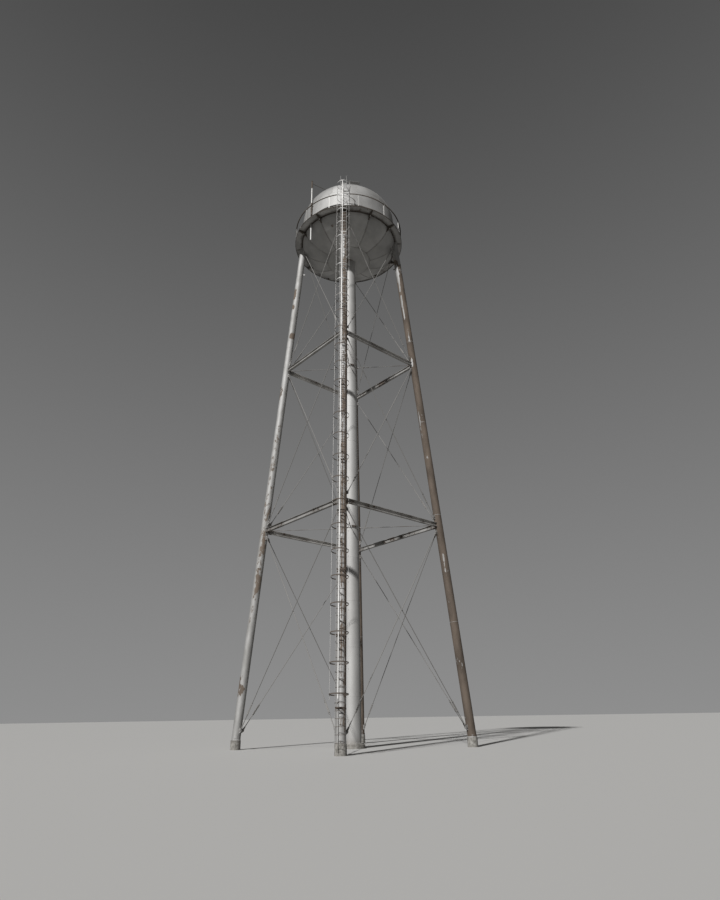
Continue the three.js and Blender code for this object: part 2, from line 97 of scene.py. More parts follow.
def skin(rings, wrap=False, local=None):
    # Closed skins from rings of points, items x stations x corners x 3. Neighbouring rings are joined by
    # quads. The end rings are closed by fans to their mean point, or joined to each other with wrap.
    rings = np.asarray(rings, float)
    items, stations, around = rings.shape[:3]
    index = np.arange(items * stations * around).reshape(items, stations, around)
    beside = np.roll(index, -1, axis=2)
    quads = stacked(index, beside, np.roll(beside, -1, axis=1), np.roll(index, -1, axis=1))
    quads = (quads if wrap else quads[:, :-1]).reshape(items, -1, 4)
    plain = np.ones(rings.shape[:3])
    columns = {"points": rings, "local": rings if local is None else local,
               "seam": 9.0 * plain, "tone": 0.5 * plain, "wear": 0.0 * plain}
    flat = {name: field.reshape((-1,) + field.shape[3:]) for name, field in columns.items()}
    tris = np.zeros((items, 0, 3), int)
    if not wrap:
        first = len(flat["points"]) + np.arange(items)[:, None]
        start = stacked(beside[:, 0], index[:, 0], first)
        end = stacked(index[:, -1], beside[:, -1], first + items)
        tris = np.concatenate([start, end], axis=1)
        flat = {name: np.concatenate([flat[name], field[:, 0].mean(1), field[:, -1].mean(1)])
                for name, field in columns.items()}
    corner = flat["points"][np.concatenate([quads[..., [0, 1, 2]], quads[..., [0, 2, 3]], tris], axis=1)]
    volume = np.einsum("ijk,ijk->i", corner[:, :, 0], np.cross(corner[:, :, 1], corner[:, :, 2]))
    for faces in (quads, tris):
        faces[volume < 0] = faces[volume < 0][..., ::-1]
    return {**flat, "quads": quads.reshape(-1, 4), "tris": tris.reshape(-1, 3)}


def joined(shapes):
    # One shape after another, each one's faces counted on from the points before it
    counts = np.cumsum([0] + [len(shape["points"]) for shape in shapes])
    result = {name: np.concatenate([shape[name] for shape in shapes])
              for name in ("points", "local", "seam", "tone", "wear")}
    for name in ("quads", "tris"):
        result[name] = np.concatenate([shape[name] + count for shape, count in zip(shapes, counts)])
    return result


def aged(shapes, wear=0.0, tone=0.5):
    # The same shapes with their wear and tone given, as one number or one for each point
    return [{**shape, "wear": shape["wear"] * 0 + wear, "tone": shape["tone"] * 0 + tone}
            for shape in shapes]


def turnedAbout(shapes, degrees):
    # x' = x cos - y sin, y' = x sin + y cos
    cosine, sine = math.cos(math.radians(degrees)), math.sin(math.radians(degrees))
    turn = np.array([[cosine, sine, 0], [-sine, cosine, 0], [0, 0, 1]])
    return [{**shape, "points": shape["points"] @ turn} for shape in shapes]


def placed(shapes, axes, origin):
    # p' = x axis0 + y axis1 + z axis2 + origin
    return [{**shape, "points": shape["points"] @ axes + np.asarray(origin)} for shape in shapes]


def circle(radius, corners):
    # (r cos a, r sin a)
    angle = np.arange(corners) * 2 * np.pi / corners
    return radius * stacked(np.cos(angle), np.sin(angle))


def oblong(width, height, cut=0.15):
    # Rectangle with its four corners cut by a share of the shorter side
    x, y = width / 2, height / 2
    c = cut * min(width, height)
    right = np.array([[x, c - y], [x, y - c], [x - c, y], [c - x, y]])
    return np.concatenate([right, -right])


def swept(path, outline, up=(0, 0, 1), scale=1.0):
    # Outline carried along a path: p + x side + y lift, with side = tangent x up and lift = side x tangent.
    # path is items x stations x 3. The field local is the outline's x and y, and the distance along the path.
    path = np.asarray(path, float)
    tangent = unit(np.gradient(path, axis=1))
    side = unit(np.cross(tangent, np.broadcast_to(np.asarray(up, float), tangent.shape)))
    lift = np.cross(side, tangent)
    flat = np.asarray(outline) * np.broadcast_to(scale, path.shape[1])[None, :, None, None]
    rings = path[:, :, None] + flat[..., :1] * side[:, :, None] + flat[..., 1:] * lift[:, :, None]
    step = np.linalg.norm(np.diff(path, axis=1, prepend=path[:, :1]), axis=-1)
    along = np.cumsum(step, axis=1)[:, :, None] + 7.3 * np.arange(len(path))[:, None, None]
    return skin(rings, local=stacked(flat[..., 0], flat[..., 1], along))


def bars(starts, ends, outline, up=(0, 0, 1), rounding=0.0, stations=2):
    # Straight bars from start to end, with ends that shrink to 0.6 over the rounding
    starts, ends = np.broadcast_arrays(np.atleast_2d(starts).astype(float), np.atleast_2d(ends).astype(float))
    share = np.linspace(0, 1, stations)
    scale = np.ones(stations)
    if rounding:
        soft = rounding / float(np.linalg.norm(ends - starts, axis=-1).mean())
        share = np.concatenate([[0], soft + (1 - 2 * soft) * share, [1]])
        scale = np.concatenate([[0.6], scale, [0.6]])
    path = starts[:, None] + (ends - starts)[:, None] * share[None, :, None]
    return swept(path, outline, up, scale)


def upright(spot, low, high, outline, **more):
    # A bar that stands at (x, y), its outline's x along Y and its outline's y along X
    return bars([*spot, low], [*spot, high], outline, (1, 0, 0), **more)


def about(profile, angle):
    # (r cos a, r sin a, h) for each angle of a column and each (radius, height) of the profile
    return stacked(profile[:, 0] * np.cos(angle), profile[:, 0] * np.sin(angle), profile[:, 1])


def turned(profile, around):
    # Profile of (radius, height) turned about Z, its two ends closed
    angle = np.arange(around)[:, None] * 2 * np.pi / around
    return skin(about(np.asarray(profile, float), angle).swapaxes(0, 1)[None])


def arcOf(profile, steps, bearing=0.0, span=360.0):
    # Closed outline of (radius, height) carried round Z from a bearing over a span, or right round
    whole = span >= 360
    angle = np.radians(np.linspace(bearing, bearing + span, steps, endpoint=not whole))[:, None]
    return skin(about(np.asarray(profile, float), angle)[None], wrap=whole)


def band(inner, outer, low, high):
    # Outline of a flat ring: a rectangle of radius and height
    return [(inner, low), (outer, low), (outer, high), (inner, high)]


def plates(outlines, thickness):
    # Flat plates: each outline is moved half the thickness to either side along its normal
    outlines = np.asarray(outlines, float)
    normal = unit(np.cross(outlines[:, 1] - outlines[:, 0], outlines[:, 2] - outlines[:, 0]))[:, None, None]
    shift = np.array([-0.5, 0.5])[None, :, None, None] * thickness
    return skin(outlines[:, None] + normal * shift)


def boltHeads(centres, normal, across, height):
    # Six-sided heads: hexagon rings at 0, 0.75 and 1 of the height, the last one shrunk to 0.8
    centres = np.atleast_2d(centres).astype(float)
    normal = np.broadcast_to(unit(np.asarray(normal, float)), centres.shape)
    share = np.array([0, 0.75, 1]) * height
    helper = np.where(np.abs(normal[:, 2:]) > 0.9, [[1.0, 0, 0]], [[0, 0, 1.0]])
    path = centres[:, None] + normal[:, None] * share[None, :, None]
    return swept(path, circle(across / math.sqrt(3), 6), helper[:, None], [1, 1, 0.8])


def boltRing(radius, count, level, size):
    # Heads that stand on a level circle about Z
    spots = circle(radius, count)
    return boltHeads(stacked(spots[:, 0], spots[:, 1], level), (0, 0, 1), *size)


def weldRings(radius, proud, half, heights, around, sunk=0.003):
    # Butt welds between pipe lengths: a low trapezium of radius and height carried round at each height
    root, top = radius - sunk, radius + proud
    outline = np.array([(root, -half), (top, -half / 2), (top, half / 2), (root, half)])
    return [arcOf(outline + [0, height], around) for height in heights]


def makePiece(name, shapes, finish, *replaced, slot=None, crease=40):
    # One object from its shapes, with the fields as point attributes and edges sharp beyond the crease.
    shape = joined(shapes)
    sizes = np.concatenate([np.full(len(shape["quads"]), 4), np.full(len(shape["tris"]), 3)])
    mesh = bpy.data.meshes.new(name)
    mesh.vertices.add(len(shape["points"]))
    mesh.vertices.foreach_set("co", shape["points"].astype(np.float32).ravel())
    mesh.loops.add(int(sizes.sum()))
    mesh.loops.foreach_set("vertex_index", np.concatenate([shape["quads"].ravel(), shape["tris"].ravel()]))
    mesh.polygons.add(len(sizes))
    mesh.polygons.foreach_set("loop_start", np.cumsum(sizes) - sizes)
    mesh.polygons.foreach_set("use_smooth", np.ones(len(sizes), bool))
    for field in ("local", "seam", "tone", "wear"):
        kind, key = ("FLOAT_VECTOR", "vector") if field == "local" else ("FLOAT", "value")
        layer = mesh.attributes.new(field, kind, "POINT")
        layer.data.foreach_set(key, shape[field].astype(np.float32).ravel())
    mesh.update(calc_edges=True)
    mesh.validate()
    mesh.set_sharp_from_angle(angle=math.radians(crease))
    mesh.materials.append(finishes[finish])
    piece = bpy.data.objects.new(name, mesh)
    bpy.context.scene.collection.objects.link(piece)
    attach(piece, "root")
    if replaced:
        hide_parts(*replaced)
    slot = slot or slots.get(finish, "frame_paint")


# Nodes, and the node groups that the finishes share

def node(tree, kind, values=None, **settings):
    # A node with its settings, and its sockets set to a value or linked from another socket
    made = tree.nodes.new("ShaderNode" + kind)
    for key, value in settings.items():
        setattr(made, key, value)
    feed(tree, made, values or {})
    return made


def feed(tree, made, values):
    # Each value linked if it is a socket, or else set
    for key, value in values.items():
        if isinstance(value, bpy.types.NodeSocket):
            tree.links.new(value, made.inputs[key])
        else:
            made.inputs[key].default_value = value


def calc(tree, operation, first, second=0.0, clamp=False):
    # One sum, difference, product or quotient
    return node(tree, "Math", {0: first, 1: second}, operation=operation, use_clamp=clamp).outputs[0]


def vectorCalc(tree, operation, values):
    # The same for vectors
    return node(tree, "VectorMath", values, operation=operation).outputs[0]


def smooth(tree, value, low, high, toLow=0.0, toHigh=1.0):
    # toLow + (toHigh - toLow) t t (3 - 2 t), with t = (value - low) / (high - low) kept within 0 and 1
    values = {"Value": value, "From Min": low, "From Max": high, "To Min": toLow, "To Max": toHigh}
    return node(tree, "MapRange", values, interpolation_type="SMOOTHSTEP").outputs["Result"]


def mixColour(tree, amount, first, second):
    # first + amount (second - first), for colours
    return node(tree, "Mix", {0: amount, 6: first, 7: second}, data_type="RGBA").outputs[2]


def mixValue(tree, amount, first, second):
    # The same for numbers
    return node(tree, "Mix", {0: amount, 2: first, 3: second}, data_type="FLOAT").outputs[0]


def noise(tree, vector, scale, detail, roughness):
    # Fractal noise from 0 to 1; each finer layer is weaker by the roughness
    values = {"Vector": vector, "Scale": scale, "Detail": detail, "Roughness": roughness}
    return node(tree, "TexNoise", values).outputs["Fac"]


def attribute(tree, name, output="Fac"):
    # A field of the piece, as a number or a vector
    return node(tree, "Attribute", attribute_name=name).outputs[output]


def relief(tree, height, strength, distance):
    # The normal of a surface raised by height times distance
    values = {"Height": height, "Strength": strength, "Distance": distance}
    return node(tree, "Bump", values).outputs["Normal"]


def newGroup(name, inputs, output):
    # A node group whose sockets are floats, but for the one called Vector
    group = bpy.data.node_groups.new(name, "ShaderNodeTree")
    for label in inputs:
        kind = "NodeSocketVector" if label == "Vector" else "NodeSocketFloat"
        group.interface.new_socket(label, in_out="INPUT", socket_type=kind)
    for label in output:
        group.interface.new_socket(label, in_out="OUTPUT", socket_type="NodeSocketFloat")
    return group, group.nodes.new("NodeGroupInput").outputs, group.nodes.new("NodeGroupOutput")


def patchy(group, fine, slow, swing, amount, start, gain):
    # fine + swing (slow - 0.5) - (start - gain amount), which is above 0 where a patch lies
    level = calc(group, "ADD", fine, calc(group, "MULTIPLY", calc(group, "SUBTRACT", slow, 0.5), swing))
    edge = calc(group, "SUBTRACT", start, calc(group, "MULTIPLY", amount, gain))
    return calc(group, "SUBTRACT", level, edge)


def peelingGroup():
    # Patches where the paint is gone: fine noise that passes a threshold, moved up and down by slow noise
    group, given, wanted = newGroup("peelingPaint", ("Vector", "Scale", "Amount"), ("Bare", "Cloud"))
    cloud = noise(group, given["Vector"], calc(group, "MULTIPLY", given["Scale"], 0.21), 3.0, 0.55)
    flakes = noise(group, given["Vector"], given["Scale"], 8.0, 0.68)
    above = patchy(group, flakes, cloud, 0.9, given["Amount"], 0.9, 0.5)
    feed(group, wanted, {"Bare": calc(group, "DIVIDE", above, 0.05, clamp=True), "Cloud": cloud})
    return group


def runsGroup():
    # Runs of dirt and rust down a skin of revolution: noise of the bearing, broken up slowly by height
    group, given, wanted = newGroup("rustRuns", ("Vector", "Count", "Amount"), ("Runs",))
    parts = node(group, "SeparateXYZ", {0: given["Vector"]}).outputs
    flat = node(group, "CombineXYZ", {"X": parts["X"], "Y": parts["Y"]}).outputs[0]
    bearing = vectorCalc(group, "NORMALIZE", {0: flat})
    spread = vectorCalc(group, "SCALE", {0: bearing, "Scale": given["Count"]})
    fall = node(group, "CombineXYZ", {"Z": calc(group, "MULTIPLY", parts["Z"], 0.35)}).outputs[0]
    streak = noise(group, vectorCalc(group, "ADD", {0: spread, 1: fall}), 1.0, 5.0, 0.7)
    patch = noise(group, given["Vector"], 0.9, 3.0, 0.5)
    above = patchy(group, streak, patch, 0.6, given["Amount"], 0.8, 0.35)
    feed(group, wanted, {"Runs": calc(group, "MULTIPLY", above, 7.0, clamp=True)})
    return group


def seamGroup():
    # Dirt beside a seam: a dark core and a ragged margin, from the distance to the seam
    group, given, wanted = newGroup("seamDirt", ("Distance", "Width", "Vector"), ("Dirt",))
    ragged = calc(group, "MULTIPLY", noise(group, given["Vector"], 3.0, 5.0, 0.65), 2.0)
    reach = calc(group, "MULTIPLY", given["Width"], ragged)
    share = calc(group, "DIVIDE", given["Distance"], calc(group, "ADD", reach, 0.004))
    feed(group, wanted, {"Dirt": smooth(group, share, 0.35, 1.0, 1.0, 0.0)})
    return group


def dustGroup():
    # Pale dust and splash near the ground, up to a ragged line
    group, given, wanted = newGroup("groundDust", ("Vector", "Height"), ("Dust",))
    parts = node(group, "SeparateXYZ", {0: given["Vector"]}).outputs
    ragged = noise(group, given["Vector"], 5.0, 5.0, 0.7)
    line = calc(group, "MULTIPLY", given["Height"], calc(group, "ADD", ragged, 0.3))
    feed(group, wanted, {"Dust": smooth(group, calc(group, "DIVIDE", parts["Z"], line), 0.2, 1.2, 1.0, 0.0)})
    return group


groups = {"peeling": peelingGroup(), "runs": runsGroup(), "seam": seamGroup(), "dust": dustGroup()}


# Finishes

plainPaint = {"stretch": 1.0, "runs": 0.0, "seamWidth": 0.05, "metallic": 0.2, "roughness": 0.65, "bump": 0.2,
              "dust": 0.0}
paints = {
    "tank": {"paint": (0.47, 0.465, 0.455), "shadePaint": (0.37, 0.365, 0.355), "bare": (0.15, 0.125, 0.10),
             "scale": 3.2, "stretch": 0.6, "amount": 0.22, "runs": 0.45, "runCount": 15.0, "seamWidth": 0.03,
             "metallic": 0.9, "roughness": 0.75, "bump": 0.15},
    # The bowl's paint is brighter than the shell's: painted light for the bounce that falls on its shaded
    # underside
    "bowl": {"paint": (0.58, 0.572, 0.555), "shadePaint": (0.42, 0.415, 0.40), "bare": (0.12, 0.10, 0.085),
             "scale": 2.8, "amount": 0.30, "runs": 0.3, "runCount": 9.0, "metallic": 0.3, "roughness": 0.7},
    "leg": {"paint": (0.56, 0.552, 0.54), "shadePaint": (0.42, 0.412, 0.395), "bare": (0.13, 0.104, 0.083),
            "scale": 9.0, "stretch": 0.4, "amount": 0.5, "metallic": 0.72, "roughness": 0.75, "bump": 0.3},
    "riser": {"paint": (0.66, 0.655, 0.64), "shadePaint": (0.56, 0.55, 0.535), "bare": (0.15, 0.122, 0.10),
              "scale": 3.6, "stretch": 0.5, "amount": 0.2, "runs": 0.2, "runCount": 9.0, "seamWidth": 0.02,
              "metallic": 0.85, "roughness": 0.78, "dust": 0.6},
    "strut": {"paint": (0.40, 0.39, 0.375), "shadePaint": (0.25, 0.24, 0.225), "bare": (0.075, 0.06, 0.05),
              "scale": 4.5, "amount": 0.62, "bump": 0.3},
    "balcony": {"paint": (0.54, 0.53, 0.51), "shadePaint": (0.36, 0.35, 0.335), "bare": (0.09, 0.075, 0.062),
                "scale": 4.5, "amount": 0.45, "seamWidth": 0.06, "bump": 0.25},
    "rail": {"paint": (0.60, 0.59, 0.57), "shadePaint": (0.46, 0.45, 0.43), "bare": (0.07, 0.058, 0.047),
             "scale": 7.0, "amount": 0.6, "metallic": 0.3, "roughness": 0.6},
    "rod": {"paint": (0.30, 0.29, 0.275), "shadePaint": (0.22, 0.21, 0.20), "bare": (0.11, 0.09, 0.075),
            "scale": 6.0, "stretch": 0.15, "amount": 0.35},
    "ladder": {"paint": (0.58, 0.57, 0.555), "shadePaint": (0.44, 0.43, 0.415), "bare": (0.10, 0.082, 0.068),
               "scale": 6.0, "stretch": 0.3, "amount": 0.5, "metallic": 0.5, "bump": 0.15},
    "mast": {"paint": (0.60, 0.595, 0.58), "shadePaint": (0.44, 0.43, 0.415), "bare": (0.09, 0.075, 0.062),
             "scale": 6.0, "stretch": 0.5, "amount": 0.3, "metallic": 0.5, "roughness": 0.6, "bump": 0.15},
}
dustColour = (0.36, 0.335, 0.30)
concrete = {"pale": (0.42, 0.405, 0.375), "dark": (0.20, 0.19, 0.17), "stain": (0.15, 0.12, 0.095),
            "scale": 6.0}
slots = {"tank": "tank_paint", "bowl": "tank_paint", "rod": "rod_steel", "ladder": "galvanised",
         "mast": "galvanised", "concrete": "concrete"}


def rgba(colour, share=1.0):
    # A colour times a share, with alpha 1
    return (*[part * share for part in colour], 1)


def newFinish(name):
    # A material with its tree and its shader
    finish = bpy.data.materials.new(name)
    finish.use_nodes = True
    return finish, finish.node_tree, finish.node_tree.nodes["Principled BSDF"]


def shared(tree, name, output, **values):
    # The output of one of the shared groups
    return node(tree, "Group", values, node_tree=groups[name]).outputs[output]


def paintedSteel(name, values, hasFields=True):
    # Old paint over steel: cloudy paint, dirty runs and seams, then bare rust where the paint has peeled.
    # A piece's own fields move the amount and the tone; a node of the frame has none.
    values = {**plainPaint, **values}
    finish, tree, shader = newFinish(name)
    place = node(tree, "TexCoord").outputs["Object"]
    local = attribute(tree, "local", "Vector") if hasFields else place
    drawn = vectorCalc(tree, "MULTIPLY", {0: local, 1: (1, 1, values["stretch"])})
    amount = values["amount"]
    if hasFields:
        amount = calc(tree, "ADD", attribute(tree, "wear"), amount)
    peeling = node(tree, "Group", {"Vector": drawn, "Scale": values["scale"], "Amount": amount},
                   node_tree=groups["peeling"]).outputs
    grain = noise(tree, local, values["scale"] * 9, 5.0, 0.7)
    bare = rgba(values["bare"])
    cloudy = smooth(tree, peeling["Cloud"], 0.35, 0.68)
    colour = mixColour(tree, cloudy, rgba(values["paint"]), rgba(values["shadePaint"]))
    colour = mixColour(tree, smooth(tree, grain, 0.60, 0.74, 0.0, 0.35), colour, bare)
    if values["runs"]:
        runs = shared(tree, "runs", "Runs", Vector=place, Count=values["runCount"], Amount=values["runs"])
        colour = mixColour(tree, calc(tree, "MULTIPLY", runs, 0.75), colour, bare)
    if hasFields:
        dirt = shared(tree, "seam", "Dirt", Vector=place, Distance=attribute(tree, "seam"),
                      Width=values["seamWidth"])
        colour = mixColour(tree, calc(tree, "MULTIPLY", dirt, 0.8), colour, bare)
    rustGrain = smooth(tree, mixValue(tree, 0.6, grain, peeling["Cloud"]), 0.34, 0.64)
    rust = mixColour(tree, rustGrain, bare, rgba(values["bare"], 1.9))
    colour = mixColour(tree, peeling["Bare"], colour, rust)
    if values["dust"]:
        dust = shared(tree, "dust", "Dust", Vector=place, Height=values["dust"])
        colour = mixColour(tree, calc(tree, "MULTIPLY", dust, 0.55), colour, rgba(dustColour))
    if hasFields:
        shade = calc(tree, "ADD", calc(tree, "MULTIPLY", attribute(tree, "tone"), 0.3), 0.85)
        colour = vectorCalc(tree, "SCALE", {0: colour, "Scale": shade})
    height = calc(tree, "SUBTRACT", calc(tree, "MULTIPLY", grain, 0.35), peeling["Bare"])
    feed(tree, shader, {"Base Color": colour, "Normal": relief(tree, height, values["bump"], 0.004),
                        "Roughness": mixValue(tree, peeling["Bare"], values["roughness"], 0.88),
                        "Metallic": mixValue(tree, peeling["Bare"], values["metallic"], 0.4)})
    return finish


def concreteFinish():
    # Weathered concrete: mottled greys, dark pores, and rust washed down from the plate above
    finish, tree, shader = newFinish("weatheredConcrete")
    place = node(tree, "TexCoord").outputs["Object"]
    dark = rgba(concrete["dark"])
    mottle = smooth(tree, noise(tree, place, concrete["scale"], 8.0, 0.7), 0.38, 0.64)
    colour = mixColour(tree, mottle, dark, rgba(concrete["pale"]))
    stones = node(tree, "TexVoronoi", {"Vector": place, "Scale": 55.0}).outputs["Distance"]
    pores = smooth(tree, stones, 0.10, 0.28, 1.0, 0.0)
    colour = mixColour(tree, calc(tree, "MULTIPLY", pores, 0.5), colour, dark)
    wash = smooth(tree, noise(tree, place, 3.0, 5.0, 0.7), 0.55, 0.72)
    colour = mixColour(tree, calc(tree, "MULTIPLY", wash, 0.6), colour, rgba(concrete["stain"]))
    grit = noise(tree, place, 30.0, 6.0, 0.7)
    height = calc(tree, "SUBTRACT", grit, calc(tree, "MULTIPLY", pores, 0.6))
    feed(tree, shader, {"Base Color": colour, "Roughness": 0.93, "Normal": relief(tree, height, 0.6, 0.01)})
    return finish


finishes = {name: paintedSteel(name + "Paint", values) for name, values in paints.items()}
finishes["concrete"] = concreteFinish()
print("finishes made:", len(finishes))


# Tank

tank = {"wall": 0.04, "bowlDepth": 1.6, "neck": 0.457, "petals": 12, "around": 360, "steps": 40,
        "crownDish": 1.1, "bottomDish": 1.5, "shellSeams": 4, "shellSeamBearing": -64.0, "weldWidth": 0.026,
        "weldHeight": 0.006, "weldInset": 0.01, "weldLift": 0.001}
roofRise = levels["crown"] - levels["spring"]
petalTurn = 360 / tank["petals"]


def ellipse(radius, rise, innerRadius, steps):
    # (r cos t, h sin t) from the rim to the inner radius
    t = np.linspace(0, math.acos(innerRadius / radius), steps)
    return stacked(radius * np.cos(t), rise * np.sin(t))


def seamFields(points, count, firstBearing, dish):
    # Distance to the nearest radial seam outside the dish, or to the dish's edge; one tone for each plate
    radius = np.hypot(points[:, 0], points[:, 1])
    turn = (np.degrees(np.arctan2(points[:, 1], points[:, 0])) - firstBearing) / (360 / count)
    seam = np.abs(turn - np.round(turn)) * 2 * np.pi / count * radius
    if dish:
        seam = np.minimum(np.abs(radius - dish), np.where(radius > dish, seam, 9.0))
    return {"seam": seam, "tone": 0.5 + 0.5 * np.sin(5.1 * np.floor(turn) + 1.0) * (radius > dish)}


def tankPlates():
    # A band for the shell; the roof and the bowl are two half ellipses each, a wall apart
    low, high, around = levels["balcony"], levels["spring"], tank["around"]
    wall, inner, steps = tank["wall"], tankRadius - tank["wall"], tank["steps"]
    bearing = tank["shellSeamBearing"]
    shell = arcOf(band(inner, tankRadius, low + hair, high - hair), around, bearing)
    shell.update(seamFields(shell["points"], tank["shellSeams"], bearing, 0))
    outer = ellipse(tankRadius, roofRise, pole, steps) + [0, high]
    under = ellipse(inner, roofRise - wall, pole, steps)[::-1] + [0, high]
    roof = turned(np.concatenate([under, outer]), around)
    roof.update(seamFields(roof["points"], tank["petals"], ladderBearing + petalTurn / 2, tank["crownDish"]))
    neck = tank["neck"] + hair
    outer = [0, low] + ellipse(tankRadius, tank["bowlDepth"], neck, steps) * [1, -1]
    under = [0, low] + ellipse(inner, tank["bowlDepth"] - wall, neck, steps)[::-1] * [1, -1]
    bowl = arcOf(np.concatenate([outer, under]), around, ladderBearing)
    bowl.update(seamFields(bowl["points"], tank["petals"], ladderBearing, tank["bottomDish"]))
    makePiece("shellPlates", [shell], "tank", "tank_shell")
    makePiece("roofPlates", [roof], "tank", "tank_roof")
    makePiece("bowlPlates", [bowl], "bowl", "tank_bottom")


def meridian(profile, bearings):
    # Weld beads along a profile of (radius, height), one for each bearing
    angle = np.radians(np.asarray(bearings, float))[:, None]
    across = stacked(-np.sin(angle), np.cos(angle), 0.0)
    return swept(about(profile, angle), oblong(tank["weldHeight"], tank["weldWidth"], 0.3), across)


def tankWelds():
    # Beads on the radial seams, round both edges of the shell and round the bowl's dish
    half, high, edge = tank["weldWidth"] / 2, tank["weldHeight"], tank["bottomDish"]
    low, spring = levels["balcony"], levels["spring"]
    petals = ladderBearing + petalTurn * np.arange(tank["petals"])
    straight = np.array([[tankRadius, low + tank["weldInset"]], [tankRadius, spring - tank["weldInset"]]])
    bottom = [0, low] + ellipse(tankRadius, tank["bowlDepth"], edge, 24) * [1, -1]
    top = [0, spring] + ellipse(tankRadius, roofRise, tank["crownDish"], 24)
    seams = tank["shellSeamBearing"] + 360 / tank["shellSeams"] * np.arange(tank["shellSeams"])
    dish = low - tank["bowlDepth"] * math.sqrt(1 - (edge / tankRadius) ** 2)
    beads = [meridian(straight, seams), meridian(bottom, petals), meridian(top, petals + petalTurn / 2),
             arcOf(band(edge - half, edge + half, dish - high, dish + high), 180)]
    for level in (low + half + tank["weldLift"], spring):
        beads.append(arcOf(band(tankRadius - high, tankRadius + high / 2, level - half, level + half), 240))
    makePiece("tankWelds", beads, "bowl")


# The dome's foot, the eaves and the rim are at shares of the rise
vent = {"radius": 0.30, "neck": 0.18, "rise": 0.34, "sunk": 0.05, "flange": 0.05, "flangeThickness": 0.015,
        "lip": 0.02, "domeFrom": 0.6, "eaves": 0.5, "rim": 0.45, "sides": 48, "bolts": 8, "boltInset": 0.025,
        "bolt": (0.024, 0.014)}


def roofVent():
    # Capped vent: a neck with a bolted flange, and a domed cap with a turned-down rim
    neck, cap, rise, crown, lip = vent["neck"], vent["radius"], vent["rise"], levels["crown"], vent["lip"]
    t, share = np.linspace(0, np.pi / 2, 12), vent["domeFrom"]
    dome = stacked(cap * np.cos(t), crown + share * rise + (1 - share) * rise * np.sin(t))[:-1]
    eaves, rim = crown + vent["eaves"] * rise, crown + vent["rim"] * rise
    wide, low, flange = neck + vent["flange"], crown - vent["sunk"], crown + lip + vent["flangeThickness"]
    hood = np.concatenate([[(pole, eaves), (cap - lip, eaves), (cap - lip, rim), (cap, rim)], dome,
                           [(pole, crown + rise)]])
    post = [(pole, low), (neck, low), (neck, crown + lip), (wide, crown + lip), (wide, flange),
            (neck, flange), (neck, eaves), (pole, eaves)]
    bolts = boltRing(wide - vent["boltInset"], vent["bolts"], flange, vent["bolt"])
    makePiece("roofVent", [turned(hood, vent["sides"]), turned(post, vent["sides"]), bolts], "tank",
              "roof_vent", crease=30)


# The handle's points are given half-way: how far in from the edge, across, and above the curb
hatch = {"distance": 2.5, "bearing": -31.0, "size": 0.70, "height": 0.17, "overhang": 0.03, "lid": 0.04,
         "sunk": 0.12, "raised": 0.1, "panel": (0.035, 0.0399), "corner": 0.04, "panelCorner": 0.08,
         "barrel": 0.012, "barrels": (-0.2, 0.1), "barrelLength": 0.1, "barrelDrop": 0.01, "grip": 0.006,
         "gripIn": (0.06, 0.02, 0.0), "gripAcross": (-0.08, -0.08, -0.06), "gripUp": (0.03, 0.035, 0.036)}


def roofHatch():
    # Square curb with a lid, hinge barrels and a handle, standing square to the dome
    share = hatch["distance"] / tankRadius
    root = math.sqrt(1 - share ** 2)
    tilt = math.atan(roofRise * share / (tankRadius * root))
    outwards = np.array([math.cos(tilt), 0, -math.sin(tilt)])
    axes = np.array([outwards, [0, 1, 0], np.cross(outwards, [0, 1, 0])])
    origin = np.array([hatch["distance"], 0, levels["spring"] + roofRise * root])
    half, high, barrel, cut = hatch["size"] / 2, hatch["height"], hatch["barrel"], hatch["corner"]
    wide = hatch["size"] + 2 * hatch["overhang"]
    inner = wide - 2 * hatch["raised"]
    curb = upright((0, 0), -hatch["sunk"], high, oblong(2 * half, 2 * half, cut))
    lid = upright((0, 0), high, high + hatch["lid"], oblong(wide, wide, cut))
    low, top = hatch["panel"]
    panel = upright((0, 0), high + low, high + top, oblong(inner, inner, hatch["panelCorner"]))
    start = stacked(-half - barrel, np.array(hatch["barrels"]), high - hatch["barrelDrop"])
    hinge = bars(start, start + [0, hatch["barrelLength"], 0], circle(barrel, 12))
    grip = stacked(half - np.array(hatch["gripIn"]), hatch["gripAcross"], high + np.array(hatch["gripUp"]))
    handle = swept(np.concatenate([grip, grip[::-1] * [1, -1, 1]])[None], circle(hatch["grip"], 8))
    shapes = turnedAbout(placed([curb, lid, panel, hinge, handle], axes, origin), hatch["bearing"])
    makePiece("roofHatch", shapes, "tank", "roof_hatch")


tankPlates()
tankWelds()
roofVent()
roofHatch()
print("tank made")


# Legs, their gussets and feet. The first leg is the south-east one, and the others are quarter turns of it.

leg = {"radius": 0.2286, "around": 48, "stations": 220, "basePlate": 0.030, "baseRadius": 0.245,
       "pierLow": 0.262, "pierHigh": 0.255, "chamfer": 0.012, "weldSpacing": 6.1, "weld": (0.004, 0.012),
       "gusset": 0.020, "gussetHalfHeight": 0.27, "pinInset": 0.33, "eyeRadius": 0.085, "lean": 25,
       "fillet": 0.012, "lugs": 4, "lugSize": 0.07, "lugRoot": 0.03, "lugBar": (0.09, 0.02),
       "ribInset": 0.012, "ribBar": (0.014, 0.024, 0.1), "pinAboveFoot": 0.42, "pinFromStrut": 0.46,
       "pinBelowBalcony": 0.70, "patternShift": (3.1, 1.7, 11.3)}
plateTop = levels["pier"] + leg["basePlate"]
legAcross = unit(np.array([-1.0, -1.0, 0]))
legUp = unit(np.array([-batter, batter, 1.0]))
legAxes = np.array([legAcross, np.cross(legUp, legAcross), legUp])
legFoot = np.array([footHalf, -footHalf, 0.0])
faceUp = unit(np.array([0, batter, 1.0]))
faceAxes = np.array([[1.0, 0, 0], faceUp, np.cross([1.0, 0, 0], faceUp)])
faceOrigin = np.array([0, -footHalf, 0.0])
